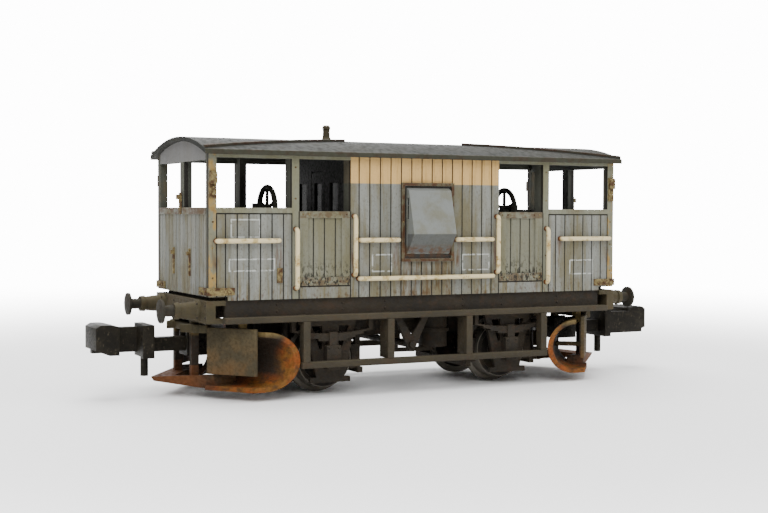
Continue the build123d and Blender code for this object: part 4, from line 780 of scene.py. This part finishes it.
@dataclass
class FinishRack:
    """Every finish on the vehicle, made once, with the starts of the names of the CAD nodes that carry it."""

    made: dict[str, bpy.types.Material] = field(default_factory=dict)
    carried: dict[str, str] = field(default_factory=dict)

    def build(self) -> None:
        """Make all the materials; each comment says what the real finish gives the eye."""
        # matt enamel sprayed on moulded planks: flat chalky colour, dark joints, soft runs of dirt
        self.add(WeatheredBoards("faded_enamel_side_boards", wall=Wall.SIDE), "body_side")
        # the same enamel on the ends: dim posts and a plain flat arch under the roof
        self.add(WeatheredBoards("faded_enamel_end_boards", wall=Wall.END), "body_end")
        # matt enamel on a smooth moulded roof: one soft sweep of grey, tan on the strips and eaves
        self.add(RoofPaint("matt_enamel_roof"), "roof")
        # track dirt sprayed on moulded plastic: near black, paler where dust lies on tops and edges
        self.add(FrameDirt("track_dirt_on_plastic"), "")
        # the same dirt on the steps: browner and dustier, so that they stand out from the frame
        self.add(FrameDirt("track_dirt_footboards", base="#292419", brown="#332c1f", dust="#494331"),
                 "upper_footboard", "lower_footboard", "footboard_hangers")
        # thin dirt over moulded olive parts: the lightest brown below the body, quite flat
        self.add(FrameDirt("track_dirt_headstocks", base="#302b1a", brown="#3d3523", dust="#504934"),
                 "headstock", "plough_frame", "stove_pipe")
        # enamel on thin moulded spokes: dark rings with dusty edges, seen against the light
        self.add(FrameDirt("dark_enamel_hand_wheel", base="#2a2b25", brown="#35342b", dust="#50503f"),
                 "hand_wheel", "wheel_column")
        # enamel on a moulded floor: dull brown, dustiest where it faces up
        self.add(FrameDirt("dirty_enamel_floor", base="#1f1b14", brown="#2b261c", dust="#373224"), "floor")
        # turned metal under a coat of dirt: dark round faces with only a faint rim
        self.add(FrameDirt("dull_turned_buffers", base="#1e1c15", brown="#272219", dust="#353125"), "buffers")
        # rust enamel on a moulded blade: orange rim, painted shade in the hollow, no shine at all
        self.add(PloughRust("rust_enamel_blade"), "plough_front", "plough_rear")
        # enamel and dirt on flat moulded plates: even olive brown, warmer low down
        self.add(PlateDirt("dirty_enamel_plates"), "plough_plates")
        # enamel brushed on bent wire: the brightest lines on the sides, brown at the wall
        self.add(RailCream("cream_enamel_wire", edge_mm=0.02), "handrails")
        # rust wash over moulded irons: small mottled spots of tan and brown
        self.add(IronRust("rust_wash_irons", edge_mm=0.03), "body_irons")
        # the boards' enamel on a smooth moulded box: even grey faces in a rusty frame
        self.add(LookoutPaint("faded_enamel_lookout"), "lookout")
        # enamel on moulded walls, coloured almost black as painted shade: the deep shade seen through the
        # openings
        self.add(CabinPaint("olive_enamel_cabin_ends"), "bulkhead")
        # chemically blackened turned steel: dull dark discs with a rubbed silver tread
        self.add(TurnedSteel("blackened_turned_steel", bump_mm=0.015), "wheels", "axle_front", "axle_rear")
        # moulded nylon: even dark grey, soft edges, a faint sheen and a few pale scuffs
        self.add(CouplerNylon("moulded_grey_nylon", bump_mm=0.012, edge_mm=0.09),
                 "coupler_pocket", "coupler_hook")
        # clear moulded styrene: see-through and faintly dusty, with a sharp glint
        self.add(ClearGlazing("clear_styrene", bump_mm=0.005), "lookout_glazing", "cabin_glazing")
        # sawn steel bar: grey lines along the cut, brown specks
        self.add(BareSteel("sawn_steel_bar"), "ballast_weight", "coupler_screws")

    def add(self, finish: Finish, *starts: str) -> None:
        """Make one material and note who carries it.

        Args:
            finish: The finish.
            starts: Starts of the names of its CAD nodes; an empty one stands for all other nodes.
        """
        self.made[finish.name] = finish.build()
        for start in starts:
            self.carried[start] = finish.name
        LOG.info("finish %s", finish.name)

    def dress(self, obj: bpy.types.Object, node: str) -> None:
        """Put a CAD node's finish all over an object; the longest matching start wins.

        Args:
            obj: Object to dress.
            node: Name of the CAD node.
        """
        start = max((start for start in self.carried if node.startswith(start)), key=len)
        obj.data.materials.clear()
        obj.data.materials.append(self.made[self.carried[start]])


@dataclass
class MouldedPieces:
    """Pieces whose edges are softened as a mould leaves them; each stands for its CAD node."""

    radii: dict[str, float] = field(default_factory=lambda: {
        "coupler_hook": 0.16, "coupler_pocket": 0.08, "plough_plates": 0.1, "plough_frame": 0.1,
        "upper_footboard": 0.09, "lower_footboard": 0.09})
    weld: float = 0.001
    flat_degrees: float = 1.0
    sharp_degrees: float = 30.0

    def build(self, rack: FinishRack) -> None:
        """Make every softened piece.

        Args:
            rack: The finishes.
        """
        body_of = {n: b for b, nodes in frame["record"]["behaviour"]["bodies"].items() for n in nodes}
        for start, radius in self.radii.items():
            for node in sorted(name for name in frame["nodes"] if name.startswith(start)):
                piece = self.soften(node, radius)
                rack.dress(piece, node)
                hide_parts(node)
                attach(piece, body_of[node])
                LOG.info("softened %s", node)

    def soften(self, node: str, radius: float) -> bpy.types.Object:
        """Copy a CAD node, join its triangles and round its edges.

        Args:
            node: CAD node name.
            radius: Edge radius in millimetres.

        Returns:
            The new piece, at the origin.
        """
        work = bmesh.new()
        work.from_mesh(frame["nodes"][node].data)
        bmesh.ops.remove_doubles(work, verts=work.verts, dist=self.weld * MM)
        flat, limit = math.radians(self.flat_degrees), math.radians(self.sharp_degrees)
        bmesh.ops.dissolve_limit(work, angle_limit=flat, verts=work.verts, edges=work.edges)
        sharp = [e for e in work.edges if len(e.link_faces) == 2 and e.calc_face_angle(0.0) > limit]
        bmesh.ops.bevel(work, geom=sharp, offset=radius * MM, segments=3, profile=0.5, affect="EDGES",
                        clamp_overlap=True)
        mesh = bpy.data.meshes.new(f"moulded_{node}")
        work.to_mesh(mesh)
        work.free()
        mesh.shade_smooth()
        obj = bpy.data.objects.new(f"moulded_{node}", mesh)
        bpy.context.scene.collection.objects.link(obj)
        return obj


@dataclass
class BoltHeads:
    """Small domed bolt heads on one body, set out by Geometry Nodes; a subclass says where they are."""

    name: str = "bolts"
    like: str = ""  # CAD node whose finish they share
    slot: str = ""
    body: str = "vehicle"
    head_radius: float = 0.1
    head_height: float = 0.07

    def spots(self) -> list[Spot]:
        """List the heads.

        Returns:
            Place in millimetres, and the way the head faces.
        """
        raise NotImplementedError

    def tree(self, material: bpy.types.Material) -> Tree:
        """Build the tree that puts one head on each point.

        Args:
            material: Finish of the heads.

        Returns:
            The Geometry Nodes tree.
        """
        tree = bpy.data.node_groups.new("bolt_heads", "GeometryNodeTree")
        tree.interface.new_socket("Geometry", in_out="INPUT", socket_type="NodeSocketGeometry")
        tree.interface.new_socket("Head Radius", in_out="INPUT", socket_type="NodeSocketFloat")
        tree.interface.new_socket("Head Height", in_out="INPUT", socket_type="NodeSocketFloat")
        tree.interface.new_socket("Geometry", in_out="OUTPUT", socket_type="NodeSocketGeometry")
        entry = add_node(tree, "NodeGroupInput")
        head = add_node(tree, "GeometryNodeMeshUVSphere", None,
                        {"Segments": 10, "Rings": 6, "Radius": entry.outputs["Head Radius"]})
        flat = add_node(tree, "ShaderNodeMath", {"operation": "DIVIDE"},
                        {0: entry.outputs["Head Height"], 1: entry.outputs["Head Radius"]})
        scale = add_node(tree, "ShaderNodeCombineXYZ", None, {"X": 1.0, "Y": 1.0, "Z": flat})
        squashed = add_node(tree, "GeometryNodeTransform", None, {"Geometry": head, "Scale": scale})
        facing = add_node(tree, "GeometryNodeInputNamedAttribute", {"data_type": "FLOAT_VECTOR"},
                          {"Name": "facing"})
        turn = add_node(tree, "FunctionNodeAlignRotationToVector", {"axis": "Z"},
                        {"Vector": facing.outputs["Attribute"]})
        points = add_node(tree, "GeometryNodeMeshToPoints", None, {"Mesh": entry.outputs["Geometry"]})
        placed = add_node(tree, "GeometryNodeInstanceOnPoints", None,
                          {"Points": points, "Instance": squashed, "Rotation": turn})
        real = add_node(tree, "GeometryNodeRealizeInstances", None, {"Geometry": placed})
        smooth = add_node(tree, "GeometryNodeSetShadeSmooth", None, {0: real})
        dressed = add_node(tree, "GeometryNodeSetMaterial", None, {"Geometry": smooth, "Material": material})
        add_node(tree, "NodeGroupOutput", None, {0: dressed})
        return tree

    def build(self, rack: FinishRack) -> None:
        """Set a head on every spot and turn the result into a plain mesh.

        Args:
            rack: The finishes.
        """
        spots = self.spots()
        cloud = bpy.data.meshes.new(f"{self.name}_spots")
        cloud.from_pydata([place * MM for place, _ in spots], [], [])
        attribute = cloud.attributes.new("facing", "FLOAT_VECTOR", "POINT")
        for entry, (_, way) in zip(attribute.data, spots):
            entry.vector = way
        obj = bpy.data.objects.new(self.name, cloud)
        bpy.context.scene.collection.objects.link(obj)
        modifier = obj.modifiers.new("heads", "NODES")
        tree = self.tree(rack.made[self.like])
        sizes = {"Head Radius": self.head_radius * MM, "Head Height": self.head_height * MM}
        modifier.node_group = tree
        for item in tree.interface.items_tree:
            if item.in_out == "INPUT" and item.name in sizes:
                modifier[item.identifier] = sizes[item.name]
        graph = bpy.context.evaluated_depsgraph_get()
        plain = bpy.data.meshes.new_from_object(obj.evaluated_get(graph))
        obj.modifiers.remove(modifier)
        obj.data = plain
        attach(obj, self.body)
        LOG.info("bolt heads %s: %d", self.name, len(spots))


@dataclass
class BodyBolts(BoltHeads):
    """Bolts on the doors, the door posts, the corner posts and the lookout frames."""

    name: str = "body_bolts"
    like: str = "rust_wash_irons"
    slot: str = "iron_paint"
    face: float = reach("body_side_left", 1)
    door_x: tuple[float, ...] = (9.55, 10.3, 13.8, 14.5)
    door_z: tuple[float, ...] = (18.97, 12.0)
    post_x: float = 15.35
    post_z: tuple[float, ...] = (11.2, 14.4, 17.6, 20.6, 23.8)
    corner_x: float = 24.28
    corner_z: tuple[float, ...] = (12.6, 15.6, 18.2)
    lookout_x: float = 3.03
    lookout_z: tuple[float, ...] = (14.12, 18.2, 22.23)
    lookout_frame: float = 0.35

    def spots(self) -> list[Spot]:
        """List the bolts on both sides; see BoltHeads.spots for the result."""
        columns = [(x, self.door_z, 0.0) for x in self.door_x]
        columns += [(self.post_x, self.post_z, 0.0), (self.corner_x, self.corner_z, 0.0),
                    (self.lookout_x, self.lookout_z, self.lookout_frame)]
        return [(Vector((sx * x, sy * (self.face + proud), z)), Vector((0, sy, 0)))
                for sy in (-1, 1) for sx in (-1, 1) for x, heights, proud in columns for z in heights]


@dataclass
class FrameBolts(BoltHeads):
    """Bolts on the solebars, the axleboxes, the buffer housings and the headstocks."""

    name: str = "frame_bolts"
    like: str = "track_dirt_on_plastic"
    slot: str = "underframe_paint"
    head_radius: float = 0.14
    head_height: float = 0.1
    solebar_face: float = reach("solebar_left", 1)
    solebar_x: tuple[float, ...] = (4.8, 9.8, 17.2)
    solebar_z: tuple[float, ...] = (9.05, 9.75)
    axle_x: float = abs(middle("axle_front", 0))
    axlebox_face: float = reach("axlebox_springs_left", 1)
    axlebox_half: float = 0.55
    axlebox_z: tuple[float, ...] = (3.0, 5.05)
    headstock_face: float = reach("body_side_left", 0) + 0.2
    headstock_y: tuple[float, ...] = (2.1, 8.0)
    headstock_z: tuple[float, ...] = (8.6, 9.8)
    buffer_y: float = 5.9
    buffer_z: float = middle("buffers_front", 2)
    buffer_flange: float = 0.4
    buffer_circle: float = 0.97

    def spots(self) -> list[Spot]:
        """List the bolts under the body; see BoltHeads.spots for the result."""
        found = []
        for sy in (-1, 1):
            for sx in (-1, 1):
                found += [(Vector((sx * x, sy * self.solebar_face, z)), Vector((0, sy, 0)))
                          for x in self.solebar_x for z in self.solebar_z]
                found += [(Vector((sx * self.axle_x + dx, sy * self.axlebox_face, z)), Vector((0, sy, 0)))
                          for dx in (-self.axlebox_half, self.axlebox_half) for z in self.axlebox_z]
                found += [(Vector((sx * self.headstock_face, sy * y, z)), Vector((sx, 0, 0)))
                          for y in self.headstock_y for z in self.headstock_z]
                for quarter in range(4):
                    turn = math.radians(45 + 90 * quarter)
                    place = Vector((sx * (self.headstock_face + self.buffer_flange),
                                    sy * self.buffer_y + self.buffer_circle * math.cos(turn),
                                    self.buffer_z + self.buffer_circle * math.sin(turn)))
                    found.append((place, Vector((sx, 0, 0))))
        return found


@dataclass(frozen=True)
class Lamp:
    """One soft square light that points at the vehicle."""

    name: str
    place: tuple[float, float, float]  # millimetres
    size: float  # side of the square in millimetres
    power: float  # watts

    def hang(self, aim: Vector) -> None:
        """Put the light in the scene.

        Args:
            aim: Point that it shines at, in millimetres.
        """
        data = bpy.data.lights.new(self.name, "AREA")
        data.size = self.size * MM
        data.energy = self.power
        obj = bpy.data.objects.new(self.name, data)
        place = Vector(self.place)
        turn = (aim - place).to_track_quat("-Z", "Y").to_matrix().to_4x4()
        obj.matrix_world = Matrix.Translation(place * MM) @ turn
        bpy.context.scene.collection.objects.link(obj)


@dataclass
class Studio:
    """Plain pale floor, soft lights, a white room and the camera."""

    lamps: tuple[Lamp, ...] = (
        Lamp("key_light", (-160, -240, 260), 260, 1.35),
        Lamp("fill_light", (260, -160, 160), 260, 0.55),
        Lamp("top_light", (0, 60, 320), 300, 2.0),
        Lamp("back_light", (60, 300, 160), 260, 0.9),
    )
    aim: Vector = field(default_factory=lambda: Vector((0, 0, 12)))
    room_light: float = 0.5
    room_seen: float = 14.0
    card_size: float = 4.0  # metres
    card_fade: tuple[float, float] = (0.05, 0.22)  # metres from the vehicle
    eye: Vector = field(default_factory=lambda: Vector((-67.69, -131.78, 19.24)))
    forward: Vector = field(default_factory=lambda: Vector((0.4519, 0.8914, -0.0340)))
    roll: float = math.radians(-0.22)
    lens: float = 61.1
    sensor: float = 36.0

    def build(self) -> None:
        """Set up the whole studio."""
        self.floor()
        self.camera()
        for lamp in self.lamps:
            lamp.hang(self.aim)
        self.room()

    def room(self) -> None:
        """Light the room softly, and make it as bright as the floor where it is seen directly."""
        world = bpy.data.worlds.new("pale_room")
        world.use_nodes = True
        tree = world.node_tree
        tree.nodes.clear()
        rays = add_node(tree, "ShaderNodeLightPath")
        strength = add_node(tree, "ShaderNodeMapRange", None, {
            "Value": rays.outputs["Is Camera Ray"], "To Min": self.room_light, "To Max": self.room_seen})
        glow = add_node(tree, "ShaderNodeBackground", None, {"Color": linear("#ffffff"), "Strength": strength})
        add_node(tree, "ShaderNodeOutputWorld", None, {"Surface": glow})
        bpy.context.scene.world = world

    def floor(self) -> None:
        """Lay a plain white card under the wheels; it fades into the white room, so no horizon shows."""
        work = bmesh.new()
        bmesh.ops.create_grid(work, x_segments=1, y_segments=1, size=self.card_size)
        mesh = bpy.data.meshes.new("studio_floor")
        work.to_mesh(mesh)
        work.free()
        obj = bpy.data.objects.new("studio_floor", mesh)
        bpy.context.scene.collection.objects.link(obj)
        # matt white card: pale and even, with soft shadows only
        material = bpy.data.materials.new("white_card")
        material.use_nodes = True
        tree = material.node_tree
        tree.nodes.clear()
        card = add_node(tree, "ShaderNodeBsdfPrincipled", None,
                        {"Base Color": linear("#f4f4f4"), "Roughness": 0.9})
        place = add_node(tree, "ShaderNodeTexCoord").outputs["Object"]
        away = add_node(tree, "ShaderNodeVectorMath", {"operation": "LENGTH"}, {0: place}).outputs["Value"]
        fade = add_node(tree, "ShaderNodeMapRange", {"interpolation_type": "SMOOTHSTEP"},
                        {"Value": away, "From Min": self.card_fade[0], "From Max": self.card_fade[1]})
        clear = add_node(tree, "ShaderNodeBsdfTransparent")
        mixed = add_node(tree, "ShaderNodeMixShader", None, {0: fade, 1: card, 2: clear})
        add_node(tree, "ShaderNodeOutputMaterial", None, {"Surface": mixed})
        mesh.materials.append(material)

    def camera(self) -> None:
        """Place the camera."""
        data = bpy.data.cameras.new("camera")
        data.lens = self.lens
        data.sensor_width = self.sensor
        data.clip_start = 5 * MM
        obj = bpy.data.objects.new("camera", data)
        forward = self.forward.normalized()
        right = forward.cross(Vector((0, 0, 1))).normalized()
        up = right.cross(forward)
        turn = Matrix.Rotation(self.roll, 3, forward)
        axes = Matrix((turn @ right, turn @ up, -forward)).transposed().to_4x4()
        obj.matrix_world = Matrix.Translation(self.eye * MM) @ axes
        bpy.context.scene.collection.objects.link(obj)
        bpy.context.scene.camera = obj


def main() -> None:
    """Dress the CAD nodes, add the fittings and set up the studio."""
    logging.basicConfig(level=logging.INFO, format="%(name)s: %(message)s")
    rack = FinishRack()
    rack.build()
    for node, obj in frame["nodes"].items():
        rack.dress(obj, node)
    for assembly in (MouldedPieces(), BodyBolts(), FrameBolts()):
        assembly.build(rack)
    Studio().build()


if __name__ == "__main__":
    main()
